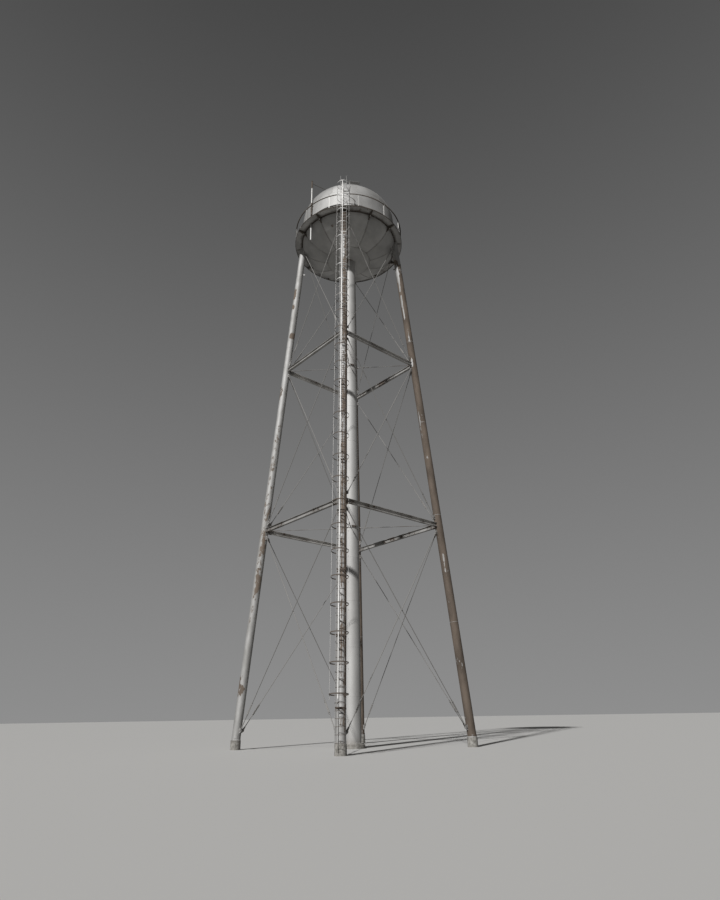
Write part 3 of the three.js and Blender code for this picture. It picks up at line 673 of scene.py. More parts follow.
pinHeights = {
    "lower": (plateTop + leg["pinAboveFoot"], levels["lowerStrut"] - leg["pinFromStrut"]),
    "middle": (levels["lowerStrut"] + leg["pinFromStrut"], levels["upperStrut"] - leg["pinFromStrut"]),
    "upper": (levels["upperStrut"] + leg["pinFromStrut"], levels["balcony"] - leg["pinBelowBalcony"]),
}


def halfSide(height):
    # Half the distance between leg centres at a height
    return footHalf - batter * height


def onFace(height, inset=0.0):
    # A point beside the south-east leg in the south face's own coordinates
    return np.array([halfSide(height) - inset, height * faceStretch])


def legPipe():
    # p(a, s) = foot + r (cos a across + sin a outwards) + s up. Each line a runs from the base plate up to
    # the balcony's floor or to the bowl, whichever comes first; the bowl is |(p - centre) / semiaxes| = 1.
    base = legFoot + circle(leg["radius"], leg["around"]) @ legAxes[:2]
    semiaxes = np.array([tankRadius, tankRadius, tank["bowlDepth"]])
    start = (base - [0, 0, levels["balcony"]]) / semiaxes
    slope = legUp / semiaxes
    a, b, c = slope @ slope, start @ slope, (start ** 2).sum(1) - 1
    reach = np.where(b * b > a * c, (-b - np.sqrt(np.maximum(b * b - a * c, 0))) / a, 1e9)
    low = (plateTop - base[:, 2]) / legUp[2]
    high = np.minimum(reach, (levels["balcony"] - deckThickness - hair - base[:, 2]) / legUp[2])
    share = np.linspace(0, 1, leg["stations"])[:, None]
    pipe = skin((base + (low + (high - low) * share)[..., None] * legUp)[None])
    return {**pipe, "local": (pipe["points"] - legFoot) @ legAxes.T}


def gussetOutline(height, lean):
    # Plate in the face from the leg's centre line to a round eye about the pin
    low, high = onFace(height - leg["gussetHalfHeight"]), onFace(height + leg["gussetHalfHeight"])
    angle = np.radians(np.linspace(100, 260, 9) - lean)
    eye = onFace(height, leg["pinInset"]) + leg["eyeRadius"] * stacked(np.cos(angle), np.sin(angle))
    flat = np.concatenate([[low, high], eye])
    return stacked(flat[:, 0], flat[:, 1], 0.0)


def legGussets():
    # The plates of the south face's right-hand leg, and their mirror images in the east face
    outlines = np.array([gussetOutline(height, lean) for heights in pinHeights.values()
                         for height, lean in zip(heights, (leg["lean"], -leg["lean"]))])
    shapes = placed([plates(outlines, leg["gusset"]), plates(outlines * [-1, 1, 1], leg["gusset"])],
                    faceAxes, faceOrigin)
    return [shapes[0], *turnedAbout(shapes[1:], 90)]


def legFeet():
    # Round base plate with a fillet weld, and level lugs on upright ribs round it
    radius, fillet, edge, size = leg["radius"], leg["fillet"], leg["baseRadius"], leg["lugSize"]
    low = levels["pier"] + hair
    top = low + leg["basePlate"]
    plate = turned([(pole, low), (edge, low), (edge, top), (radius + fillet, top), (radius, top + fillet),
                    (pole, top)], 48)
    spots = circle(1.0, leg["lugs"])
    spots = turnedAbout([{"points": stacked(spots[:, 0], spots[:, 1], 0.0)}], 180 / leg["lugs"])[0]["points"]
    inside, outside, ribs = (spots * reach + [0, 0, top]
                             for reach in (radius - leg["lugRoot"], edge, edge - leg["ribInset"]))
    high = np.array([0, 0, size])
    lugs = bars(inside + high, outside + high, oblong(*leg["lugBar"]))
    return [plate, lugs, bars(ribs, ribs + high, oblong(*leg["ribBar"]), spots[:, None])]


def pier(values, height, flare=0.002):
    # Battered round footing with a chamfered top edge
    low, high, chamfer = values["pierLow"], values["pierHigh"], values["chamfer"]
    return turned([(pole, 0.0), (low, 0.0), (high + flare, height - chamfer), (high - chamfer, height),
                   (pole, height)], 64)


# Where the paint has gone from each leg: the usual level, then patches as (height, half height, turn round
# the leg from its outward side in degrees, half width in degrees, change of the level)
legWear = {
    "south_east": (-0.25, [(33.0, 2.3, 10, 200, 1.3), (29.3, 1.9, -90, 75, 1.2), (25.7, 2.8, -78, 88, 1.2),
                           (12.5, 13.5, -3, 13, 0.85), (12.5, 13.5, -62, 40, 1.0)]),
    "north_east": (0.85, [(32.6, 1.3, 0, 250, -1.2), (30.2, 0.75, 131, 32, -1.4), (29.0, 0.5, 121, 17, -1.3),
                          (27.75, 0.55, 124, 20, -1.35), (26.7, 0.4, 118, 12, -1.15),
                          (25.0, 0.7, 96, 13, -0.68), (22.7, 0.3, 110, 13, -1.2), (18.3, 1.1, 138, 14, -0.72),
                          (15.85, 0.1, 102, 13, -1.2), (9.65, 0.22, 100, 14, -1.3),
                          (9.05, 0.4, 102, 11, -0.7)]),
    "north_west": (0.75, []),
    "south_west": (-0.12, [(30.9, 1.3, -80, 140, -0.5), (28.95, 0.6, -10, 75, 0.75),
                           (27.8, 0.25, -30, 70, 0.6), (25.35, 0.22, -115, 50, 1.0),
                           (23.7, 1.0, -10, 50, 0.4), (21.0, 0.5, -32, 60, 0.75), (20.3, 0.4, 5, 50, 0.7),
                           (18.0, 1.6, -110, 60, 0.3), (14.0, 2.4, -85, 80, 0.32),
                           (10.2, 1.2, -118, 58, 0.30), (7.9, 1.9, -105, 58, 0.30),
                           (5.0, 1.2, -80, 140, -0.3), (3.3, 0.35, -20, 70, 0.6), (2.8, 0.3, -70, 60, 0.6)]),
}
# Where a leg is darker all round: height, half height, change of the tone
legTone = {"south_east": (33.4, 2.3, -1.3), "north_east": (16.0, 60.0, -0.5)}


def wornFields(local, corner):
    # base + sum of change * exp(-(dz / half height)^4 - (dt / half width)^4)
    turn = np.degrees(np.arctan2(local[:, 0], local[:, 1]))
    level, patches = legWear[corner]
    wear = np.full(len(local), level)
    for height, halfHeight, middle, halfTurn, change in patches:
        aside = np.abs((turn - middle + 180) % 360 - 180)
        wear = wear + change * np.exp(-((local[:, 2] - height) / halfHeight) ** 4 - (aside / halfTurn) ** 4)
    height, halfHeight, change = legTone.get(corner, (0.0, 1.0, 0.0))
    return {"wear": wear, "tone": 0.5 + change * np.exp(-((local[:, 2] - height) / halfHeight) ** 4)}


legLug = {"height": 30.8, "root": 0.004, "reach": 0.13, "width": 0.11, "taper": 0.6, "thickness": 0.016,
          "bolt": (0.05, 0.03), "boltShare": 0.6, "wear": -0.6}


def legLugs():
    # A small plate on the leg's inner side with a bolt through it
    z, near, half = legLug["height"], -leg["radius"] + legLug["root"], legLug["width"] / 2
    far, short, thick = near - legLug["reach"], half * legLug["taper"], legLug["thickness"]
    outline = [[0, near, z - half], [0, far, z - short], [0, far, z + short], [0, near, z + half]]
    middle = near - legLug["reach"] * legLug["boltShare"]
    bolt = boltHeads([thick / 2, middle, z], (1, 0, 0), *legLug["bolt"])
    return aged([plates([outline], thick), bolt], legLug["wear"])


def buildLegs():
    # The lug is on the two legs that are an odd number of quarter turns round
    pipe, spacing, level = legPipe(), leg["weldSpacing"], levels["pier"]
    heights = np.arange(spacing, levels["balcony"] - 1, spacing)
    welds = placed(weldRings(leg["radius"], *leg["weld"], heights, leg["around"]), legAxes, legFoot)
    lugs, gussets = placed(legLugs(), legAxes, legFoot), legGussets()
    *feet, footing = placed([*legFeet(), pier(leg, level)], np.eye(3), [halfSide(level), -halfSide(level), 0])
    for corner, turns in corners.items():
        pipe.update(wornFields(pipe["local"], corner))
        shapes = turnedAbout([pipe, *gussets, *welds, *feet, *(lugs if turns % 2 else [])], 90 * turns)
        for shape in shapes:
            shape["local"] = shape["local"] + turns * np.array(leg["patternShift"])
        makePiece("leg_" + corner + "_pipe", shapes, "leg", "leg_" + corner)
        makePiece("footing_" + corner, turnedAbout([footing], 90 * turns), "concrete", "pier_" + corner)


riser = {"radius": 0.457, "flangeRadius": 0.58, "flange": 0.05, "lift": 0.02, "pierLow": 0.66,
         "pierHigh": 0.64, "chamfer": 0.02, "around": 72, "courseHeight": 2.44, "weld": (0.005, 0.014),
         "bolts": 20, "boltCircle": 0.53, "bolt": (0.046, 0.028), "shadowedTopFrom": 31.0, "shadowedTopMargin": 0.2,
         "shadowedTopWear": 0.5, "paintedShadeTone": 0.9, "stations": 60, "intoBowl": 0.04}


def buildRiser():
    # Pipe in courses with a bolted flange on its footing, darker near the bowl: its top, where the tank's
    # shadow falls, gets more rust and a painted shade
    radius, course, around = riser["radius"], riser["courseHeight"], riser["around"]
    low, middle, margin = levels["riserPier"] + hair, riser["shadowedTopFrom"], riser["shadowedTopMargin"]
    foot, flange, wide = low + riser["lift"], low + riser["flange"], riser["flangeRadius"]
    top = levels["balcony"] - tank["bowlDepth"] + riser["intoBowl"]
    side = stacked(radius, np.linspace(flange, top, riser["stations"]))
    pipe = turned(np.concatenate([[(pole, foot), (radius, foot)], side, [(pole, top)]]), around)
    height = pipe["points"][:, 2]
    pipe["seam"] = np.abs(height / course - np.round(height / course)) * course
    # Share of the top that lies in the tank's shadow: it gets more wear, and a lower tone that paints shade
    # over it
    rustAndShadeShare = np.interp(height, [middle - margin, middle + margin], [0, 1])
    shapes = aged([pipe], riser["shadowedTopWear"] * rustAndShadeShare, 0.5 - riser["paintedShadeTone"] * rustAndShadeShare)
    shapes.append(turned([(pole, low), (wide, low), (wide, flange), (pole, flange)], around))
    shapes.append(boltRing(riser["boltCircle"], riser["bolts"], flange, riser["bolt"]))
    welds = weldRings(radius, *riser["weld"], np.arange(course, top, course), around)
    makePiece("riserColumn", shapes + welds, "riser", "riser_pipe")
    makePiece("footing_riser", [pier(riser, levels["riserPier"])], "concrete", "pier_riser")


buildLegs()
buildRiser()
print("legs and riser made")


# Struts: the frame's beams stay, with end plates and bolts added

strutEnd = {"plateLength": 0.42, "plateHeight": 0.17, "plateThickness": 0.012, "taper": 0.8, "intoLeg": 0.02,
            "webHalf": 0.007, "boltRows": (0.05, -0.05), "boltColumns": (0.08, 0.17, 0.34),
            "bolt": (0.036, 0.022), "seatLength": 0.28, "depth": 0.23, "seatDrop": 0.007, "seatHalf": 0.07,
            "seatThickness": 0.012}
# How bright each beam's paint is made, brighter as painted light on the sides that lie in shade, and how much
# paint it has lost
strutLightAndWear = {"lower": {"south": (1.0, 0.55), "east": (1.3, 0.60), "north": (1.0, 0.65), "west": (1.7, 0.45)},
            "upper": {"south": (1.15, 0.40), "east": (1.25, 0.42), "north": (1.1, 0.72), "west": (1.7, 0.45)}}


def strutFittings():
    # At both ends of each strut: a plate bolted to either side of the web, and a seat under the lower flange
    shapes, thick, high = [], strutEnd["plateThickness"], strutEnd["plateHeight"] / 2
    short = high * strutEnd["taper"]
    for level in (levels["lowerStrut"], levels["upperStrut"]):
        edge, bottom = halfSide(level), level - strutEnd["depth"] / 2 - strutEnd["seatDrop"]
        start = edge - leg["radius"] + strutEnd["intoLeg"]
        inside, outside = -edge + strutEnd["seatHalf"], -edge - strutEnd["seatHalf"]
        for mirror in (1, -1):
            near, far = mirror * start, mirror * (start - strutEnd["plateLength"])
            for face in (1, -1):
                y = -edge - face * (strutEnd["webHalf"] + thick / 2)
                shapes.append(plates([[[near, y, level - high], [far, y, level - short],
                                       [far, y, level + short], [near, y, level + high]]], thick))
                spots = [[mirror * (start - column), y - face * thick / 2, level + row]
                         for column in strutEnd["boltColumns"] for row in strutEnd["boltRows"]]
                shapes.append(boltHeads(spots, (0, -face, 0), *strutEnd["bolt"]))
            back = mirror * (start - strutEnd["seatLength"])
            shapes.append(plates([[[near, outside, bottom], [back, outside, bottom], [back, inside, bottom],
                                   [near, inside, bottom]]], strutEnd["seatThickness"]))
    for side, turns in sides.items():
        makePiece("strut_ends_" + side, turnedAbout(shapes, 90 * turns), "strut")


def paintStruts():
    # Each beam of the frame gets a finish of its own: barer than the strut paint, and brightened as painted
    # light where the beam lies in shade
    for level, sideLightAndWear in strutLightAndWear.items():
        for side, (shade, amount) in sideLightAndWear.items():
            name = f"{level}_strut_{side}"
            # The factor shade brightens the paint and rust colours of this side's beam as painted light
            colours = {part: rgba(paints["strut"][part], shade)[:3]
                       for part in ("paint", "shadePaint", "bare")}
            values = {**paints["strut"], **colours, "amount": amount}
            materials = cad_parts[name].data.materials
            materials.clear()
            materials.append(paintedSteel("paint_" + name, values, hasFields=False))


strutFittings()
paintStruts()
print("strut ends made")


# Crossed rods with clevises, pins and turnbuckles

rod = {"radius": 0.019, "bow": 0.022, "stations": 20, "fromPin": 0.17, "clevisWall": 0.014,
       "clevisGap": 0.001, "clevisEye": 0.052, "clevisNeck": 0.10, "clevisEnd": 0.17, "neckHalf": 0.036,
       "endHalf": 0.026, "socket": 0.036, "socketEnd": 0.22, "socketRounding": 0.012, "pinRadius": 0.022,
       "pinOut": 0.022, "pinHead": (0.058, 0.018), "barFrom": 0.90, "barLength": 0.62, "barGap": 0.034,
       "barInset": 0.02, "bar": (0.030, 0.018, 0.3), "end": (0.086, 0.044, 0.25), "endLength": 0.09,
       "endRounding": 0.01, "nut": 0.032, "nutLength": 0.035, "nutBefore": 0.06, "nutAfter": 0.025}


def clevis(pin, along, across):
    # Two cheeks either side of the gusset, drawn as an eye that narrows to a neck, and the socket of the rod
    def at(distance, lift=0.0):
        return np.append(pin + along * distance, lift)

    angle = np.radians(np.linspace(90, 270, 9))
    neck, end, wide, narrow = rod["clevisNeck"], rod["clevisEnd"], rod["neckHalf"], rod["endHalf"]
    outline = np.concatenate([stacked(np.cos(angle), np.sin(angle)) * rod["clevisEye"],
                              [(neck, -wide), (end, -narrow), (end, narrow), (neck, wide)]])
    flat = pin + outline[:, :1] * along + outline[:, 1:] * across
    out = leg["gusset"] / 2 + rod["clevisGap"] + rod["clevisWall"] / 2
    half = out + rod["clevisWall"] / 2
    tip = half + rod["pinOut"]
    cheeks = plates([stacked(flat[:, 0], flat[:, 1], z) for z in (-out, out)], rod["clevisWall"])
    socket = bars(at(neck), at(rod["socketEnd"]), circle(rod["socket"], 16), rounding=rod["socketRounding"])
    shaft = bars(at(0, -tip), at(0, tip), circle(rod["pinRadius"], 14), (0, 1, 0))
    heads = [boltHeads(at(0, sign * half), (0, 0, sign), *rod["pinHead"]) for sign in (1, -1)]
    return [cheeks, socket, shaft, *heads]


def rodShapes(low, high, bowSide):
    # One rod: low + t (high - low), bowed out of the face by bow sin(pi t) so that the crossing rods pass
    span = high - low
    length = np.linalg.norm(span)
    along = span / length
    across = np.array([-along[1], along[0]])
    share = np.linspace(rod["fromPin"] / length, 1 - rod["fromPin"] / length, rod["stations"])
    path = low + share[:, None] * span
    path = stacked(path[:, 0], path[:, 1], bowSide * rod["bow"] * np.sin(np.pi * share))
    shapes = [swept(path[None], circle(rod["radius"], 10))]
    first, inset, size = rod["barFrom"], rod["barInset"], rod["endLength"]
    last = first + rod["barLength"]
    lift = bowSide * rod["bow"] * math.sin(math.pi * (first + last) / 2 / length)

    def piece(start, end, outline, aside=0.0, rounding=0.0):
        ends = (np.append(low + along * distance + across * aside, lift) for distance in (start, end))
        shapes.append(bars(*ends, outline, rounding=rounding))

    for aside in (-rod["barGap"], rod["barGap"]):
        piece(first + inset, last - inset, oblong(*rod["bar"]), aside)
    for start in (first, last - size):
        piece(start, start + size, oblong(*rod["end"]), rounding=rod["endRounding"])
    for start in (first - rod["nutBefore"], last + rod["nutAfter"]):
        piece(start, start + rod["nutLength"], circle(rod["nut"], 6))
    return shapes + clevis(low, along, across) + clevis(high, -along, across)


def buildRods():
    # Both rods of each panel in the south face's own coordinates, stood up there and turned to each side
    mirror = np.array([-1.0, 1.0])
    for panel, heights in pinHeights.items():
        low, high = (onFace(height, leg["pinInset"]) for height in heights)
        shapes = rodShapes(low * mirror, high, 1) + rodShapes(low, high * mirror, -1)
        shapes = placed(shapes, faceAxes, faceOrigin)
        for side, turns in sides.items():
            makePiece(f"rods_{panel}_{side}", turnedAbout(shapes, 90 * turns), "rod",
                      f"{panel}_cross_rods_{side}", crease=45)


tie = {"radius": 0.015, "collarHeight": 0.16, "collarThickness": 0.04, "flange": 0.015,
       "flangeHeight": 0.02, "lug": 0.10, "lugRoot": 0.02, "lugBar": (0.024, 0.10, 0.2), "rodFrom": 0.06,
       "shoe": 0.16, "shoeBar": (0.016, 0.09, 0.2), "legGap": 0.002, "pinFrom": 0.05, "pinHalf": 0.035,
       "pinRadius": 0.014, "nutFrom": 0.012, "nut": (0.04, 0.02), "barFrom": 0.42, "barLength": 0.34,
       "barGap": 0.026, "bar": (0.014, 0.024, 0.3), "end": (0.066, 0.034, 0.25), "endLength": 0.07,
       "endOver": 0.02, "spliceLength": 0.27, "spliceBearing": -20.0, "spliceBar": (0.022, 0.10, 0.1),
       "spliceOut": 0.010, "spliceBolt": (0.045, 0.024), "boltLift": 0.011, "boltShare": 0.6, "wear": 0.5,
       "spliceWear": (0.9, -0.3)}


def riserTies(name, level, replaced):
    # Flanged collar on the riser, bolted splice plates on it, and a lug, a turnbuckle and a rod to each leg
    def line(start, end, outline, aside=0.0, **more):
        return bars([start, aside, level], [end, aside, level], outline, **more)

    outer = riser["radius"] + tie["collarThickness"]
    wall, half, rise = outer - tie["flange"], tie["collarHeight"] / 2, tie["flangeHeight"]
    collar = [arcOf(band(riser["radius"] + hair, wall, level - half, level + half), 72)]
    for edge in (-half, half - rise):
        collar.append(arcOf(band(wall, outer, level + edge, level + edge + rise), 72))
    reach = math.sqrt(2) * halfSide(level) - leg["radius"] - tie["legGap"]
    first, last = outer + tie["barFrom"], outer + tie["barFrom"] + tie["barLength"]
    pin, pinHalf, over, size = outer + tie["pinFrom"], tie["pinHalf"], tie["endOver"], tie["endLength"]
    arm = [line(outer - tie["lugRoot"], outer + tie["lug"], oblong(*tie["lugBar"])),
           line(outer + tie["rodFrom"], reach, circle(tie["radius"], 10), stations=8),
           line(reach - tie["shoe"], reach, oblong(*tie["shoeBar"])),
           bars([pin, -pinHalf, level], [pin, pinHalf, level], circle(tie["pinRadius"], 12)),
           boltHeads([pin, tie["nutFrom"], level], (0, 1, 0), *tie["nut"])]
    for side in (-1, 1):
        arm.append(line(first, last, oblong(*tie["bar"]), side * tie["barGap"]))
    for start in (first - over, last + over - size):
        arm.append(line(start, start + size, oblong(*tie["end"])))
    shapes = [shape for part in aged(arm, tie["wear"]) for turns in range(4)
              for shape in turnedAbout([part], ladderBearing + 90 * turns)]
    length, out = tie["spliceLength"] / 2, outer + tie["spliceOut"]
    spots = [[out + tie["boltLift"], side * length * tie["boltShare"], level] for side in (-1, 1)]
    splice = aged([bars([out, -length, level], [out, length, level], oblong(*tie["spliceBar"])),
                   boltHeads(spots, (1, 0, 0), *tie["spliceBolt"])], *tie["spliceWear"])
    for turns in (0, 180):
        shapes += turnedAbout(splice, tie["spliceBearing"] + turns)
    makePiece(name, shapes, "rod", replaced, crease=45)
    makePiece(name + "_collar", collar, "riser", slot="rod_steel", crease=45)


buildRods()
riserTies("riser_ties_lower", levels["lowerStrut"], "lower_riser_ties")
riserTies("riser_ties_upper", levels["upperStrut"], "upper_riser_ties")
print("rods and ties made")


# Balcony

balcony = {"radius": 3.90, "rimDepth": 0.075, "rimWall": 0.014, "shelf": 0.075, "shelfThickness": 0.012,
           "curb": 0.07, "curbThickness": 0.014, "brackets": 12, "bracketDepth": 0.385, "bracketOut": 3.875,
           "bracketEnd": 0.055, "bracketRoot": 0.012, "bracketLift": 0.02, "bracketWeb": 0.014,
           "bracketFlange": (0.09, 0.012, 0.2), "flangeOver": 0.01, "around": 360, "cornerShadeShare": 0.25,
           "rimWear": (0.9, -0.6), "curbWearAndShade": (0.8, -0.5), "bracketWear": (0.6, 0.2)}
handrail = {"height": 1.09, "inset": 0.010, "size": 0.076, "wall": 0.010, "gap": 0.001, "post": 0.066,
            "postWall": 0.008, "posts": 12, "foot": 0.012, "footSize": (0.10, 0.12),
            "footBolts": ((-0.02, 0.035), (0.01, 0.02)), "footBolt": (0.024, 0.014),
            "railBolts": ((0.015, -0.045), (-0.02, -0.045)), "railBolt": (0.020, 0.009),
            "openingHalf": 0.43, "wear": 0.8, "postWear": -0.4}


def bracketShapes():
    # A web under the floor from the bowl to the rim, with a flange along its sloping lower edge
    top, root = levels["balcony"] - deckThickness - hair, balcony["bracketRoot"]
    foot = tankRadius * math.sqrt(1 - (balcony["bracketDepth"] / tank["bowlDepth"]) ** 2) - root
    low, end = top - balcony["bracketDepth"] + balcony["bracketLift"], balcony["bracketOut"]
    tip = top - balcony["bracketEnd"]
    web = plates([[[foot, 0, low], [end, 0, tip], [end, 0, top], [tankRadius - root, 0, top]]],
                 balcony["bracketWeb"])
    flange = bars([foot - balcony["flangeOver"], 0, low], [end, 0, tip], oblong(*balcony["bracketFlange"]))
    return aged([web, flange], *balcony["bracketWear"])


def buildBalcony():
    # Deck, rim, and a shelf and a curb under the deck's two edges; a leg stands where a bracket is left out
    level, under = levels["balcony"], levels["balcony"] - deckThickness
    outer, inner, wall = balcony["radius"], tankRadius + hair, balcony["rimWall"]
    outlines = [band(inner, outer - wall, under, level),
                band(outer - wall, outer, level - balcony["rimDepth"], level),
                band(outer - balcony["shelf"], outer - wall, under - balcony["shelfThickness"], under - hair),
                band(inner, tankRadius + balcony["curb"], under - balcony["curbThickness"], under - hair)]
    deck, rim, shelf, curb = (arcOf(outline, balcony["around"], ladderBearing) for outline in outlines)
    deck.update(seamFields(deck["points"], balcony["brackets"], ladderBearing, 0))
    # Along the tank the deck's seam dirt and the curb's lower tone paint a dark band: rust and painted shade
    # in the corner between deck and tank
    fromTank = np.hypot(deck["points"][:, 0], deck["points"][:, 1]) - tankRadius
    deck["seam"] = np.minimum(deck["seam"], fromTank * balcony["cornerShadeShare"])
    shapes = [deck, *aged([rim], *balcony["rimWear"]), shelf, *aged([curb], *balcony["curbWearAndShade"])]
    for index in range(balcony["brackets"]):
        if index % 3:
            shapes += turnedAbout(bracketShapes(), ladderBearing + 360 / balcony["brackets"] * index)
    makePiece("balconyDeck", shapes, "balcony", "balcony_floor")


def buildHandrail():
    # Angle bar bent round the balcony on angle posts, each on a foot plate with two bolts
    top, low = levels["balcony"] + handrail["height"], levels["balcony"] + hair
    outer, wall, size = balcony["radius"] - handrail["inset"], handrail["wall"], handrail["size"]
    half = math.degrees(math.asin(handrail["openingHalf"] / outer))
    shapes = [arcOf(outline, 300, ladderBearing + half, 360 - 2 * half)
              for outline in (band(outer - size, outer, top - wall, top),
                              band(outer - wall, outer, top - size, top - wall))]
    # The rail is worn to dark rust, which also paints in the shade of its underside; the posts stay lighter
    shapes = aged(shapes, handrail["wear"])
    wide, thin, foot = handrail["post"], handrail["postWall"], low + handrail["foot"]
    turn = 360 / handrail["posts"]
    out = outer - wall - handrail["gap"]
    middle = out - wide / 2
    footBolts = [[middle + shift, aside, foot] for shift, aside in handrail["footBolts"]]
    railBolts = [[outer, aside, top + drop] for aside, drop in handrail["railBolts"]]
    post = [upright((out - thin / 2, 0), low, top - wall, oblong(wide, thin, 0.1)),
            upright((middle, -wide / 2 + thin / 2), low, top - wall, oblong(thin, wide, 0.1)),
            upright((middle, 0), low, foot, oblong(*handrail["footSize"], 0.1)),
            boltHeads(footBolts, (0, 0, 1), *handrail["footBolt"]),
            boltHeads(railBolts, (1, 0, 0), *handrail["railBolt"])]
    for index in range(handrail["posts"]):
        shapes += turnedAbout(aged(post, handrail["postWear"]), ladderBearing + turn / 2 + turn * index)
    makePiece("balconyHandrail", shapes, "rail", "balcony_handrail")


# The wear changes with the share of the mast's height, from the first list to the second
mast = {"radius": 0.057, "distance": 3.43, "clampLevels": (0.25, 1.65), "clampRod": 0.008,
        "clampHalf": 0.11, "clampBar": (0.030, 0.07, 0.1), "armLevel": 36.95, "armRadius": 0.016,
        "armFall": 0.30, "armBearing": -78.0, "couplings": (34.4, 36.0), "coupling": 0.13,
        "couplingWall": 0.010, "cap": 0.09, "capWall": 0.008, "underCap": 0.02,
        "stations": 48, "pipeRounding": 0.01, "capRounding": 0.02, "couplingRounding": 0.015,
        "wearAlong": ([0, 0.26, 0.32, 0.60, 0.64, 0.84, 0.88, 1],
                      [-0.2, -0.2, 0.9, 0.9, -0.1, 0.0, 0.8, 0.9])}


def buildMast():
    # Pipe with a cap, screwed couplings, two U-bolt clamps on plates on the tank's shell, a stay to the roof
    low, high, reach, radius = levels["mastLow"], levels["mastHigh"], mast["distance"], mast["radius"]

    def pipe(start, end, size, rounding, stations=2):
        return upright((0, -reach), start, end, circle(size, 28), rounding=rounding, stations=stations)

    shapes = [pipe(low, high - mast["underCap"], radius, mast["pipeRounding"], mast["stations"]),
              pipe(high - mast["cap"], high, radius + mast["capWall"], mast["capRounding"])]
    wide, rounding = radius + mast["couplingWall"], mast["couplingRounding"]
    for level in mast["couplings"]:
        shapes.append(pipe(level, level + mast["coupling"], wide, rounding))
    wide, half = radius + mast["clampRod"], mast["clampHalf"]
    for level in mast["clampLevels"]:
        z = levels["balcony"] + level
        angle = np.radians(np.linspace(0, -180, 17))
        bow = stacked(wide * np.cos(angle), -reach + wide * np.sin(angle), z)
        bow = np.concatenate([[[wide, -tankRadius, z]], bow, [[-wide, -tankRadius, z]]])
        shapes.append(swept(bow[None], circle(mast["clampRod"], 8)))
        shapes.append(bars([-half, -tankRadius, z], [half, -tankRadius, z], oblong(*mast["clampBar"])))
    level, foot = mast["armLevel"], mast["armLevel"] - mast["armFall"]
    meet = tankRadius * math.sqrt(1 - ((foot - levels["spring"]) / roofRise) ** 2)
    bearing = math.radians(mast["armBearing"])
    arm = np.linspace([0.0, -reach, level], [meet * math.cos(bearing), meet * math.sin(bearing), foot], 4)
    shapes.append(swept(arm[None], circle(mast["armRadius"], 10)))
    for shape in shapes:
        shape["wear"] = np.interp((shape["points"][:, 2] - low) / (high - low), *mast["wearAlong"])
    makePiece("balconyMast", shapes, "mast", "balcony_mast")


buildBalcony()
buildHandrail()
buildMast()
print("balcony made")


# Ladders and cages, in coordinates with X across the rungs, Y away from the tower and Z up the climb

# The sunny rail and the cage's bars are less worn than the rest, by the value "kept"
ladder = {"width": 0.40, "railDepth": 0.060, "railBar": 0.012, "rung": 0.011, "rungRounding": 0.004,
          "spacing": 0.3048, "legOffset": 0.55, "low": 0.30, "splice": 0.010, "belowBalcony": 0.15,
          "standoff": 3.0, "standoffBar": (0.012, 0.05), "standoffBack": 0.028, "standoffShare": 0.98,
          "crossBar": (0.010, 0.05), "crossBack": 0.026, "tankOffset": 0.40, "intoShell": 0.008,
          "bandHalf": 0.03, "bandGap": 0.0005, "bandThickness": 0.008, "earWidth": 0.05, "earGap": 0.011,
          "earRoot": 0.01, "earLength": 0.05, "earBar": (0.010, 0.055), "clampHalf": 0.085,
          "clampRadius": 0.009, "clampNut": (0.028, 0.014), "nutAt": 0.056, "rustyBelow": 22.0,
          "paintedAbove": 28.0, "wear": (0.65, -0.25), "kept": 0.9}
cage = {"radius": 0.41, "bar": (0.040, 0.008), "barTone": 2.0, "hoop": (0.008, 0.050), "start": 2.06,
        "lowerHoops": 2.27 + 1.255 * np.arange(12), "upperHoops": 18.18 + 1.25 * np.arange(12),
        "perLength": 3, "barTurns": (-99.7, 0, 99.7), "barBolt": (0.020, 0.008), "railBolt": (0.022, 0.010),
        "boltShare": 1.02, "tankHoops": (0.45, 1.05, 1.65), "tankHeight": 1.68}
cageHalf = ladder["width"] / 2 + ladder["railBar"] / 2
cageCentre = math.sqrt(cage["radius"] ** 2 - cageHalf ** 2)


def ladderShapes(low, high, reach, spread):
    # Two flat rails, round rungs whose ends show outside the rails, and stand-offs that reach back to
    # y = -reach with the given half distance between their ends
    half, bar, spacing = ladder["width"] / 2, ladder["railBar"], ladder["spacing"]
    rails = bars([[-half, 0, low], [half, 0, low]], [[-half, 0, high], [half, 0, high]],
                 oblong(bar, ladder["railDepth"]), (0, 1, 0), stations=24)
    left = stacked(-half - bar, 0.0, np.arange(low + spacing / 2, high - spacing / 3, spacing))
    rungs = bars(left, left * [-1, 1, 1], circle(ladder["rung"], 10), rounding=ladder["rungRounding"])
    shapes = [rails, rungs]
    pitch = min(ladder["standoff"], (high - low) / 2)
    heights = np.arange(low + pitch / 2, high, pitch)
    for side in (-1, 1):
        start = stacked(side * half * ladder["standoffShare"], -ladder["standoffBack"], heights)
        shapes.append(bars(start, stacked(side * spread, -reach, heights), oblong(*ladder["standoffBar"])))
    cross = stacked(-half, -ladder["crossBack"], heights)
    return shapes + [bars(cross, cross * [-1, 1, 1], oblong(*ladder["crossBar"]))], heights


def hoopShapes(heights):
    # Flat bar on a circle from one rail round to the other: (R cos a, c + R sin a)
    start = math.atan2(-cageCentre, cageHalf)
    angle = np.linspace(start, np.pi - start, 40)
    radius = cage["radius"] + cage["hoop"][0] / 2
    path = stacked(radius * np.cos(angle), cageCentre + radius * np.sin(angle), heights[:, None])
    return swept(path, oblong(*cage["hoop"]))


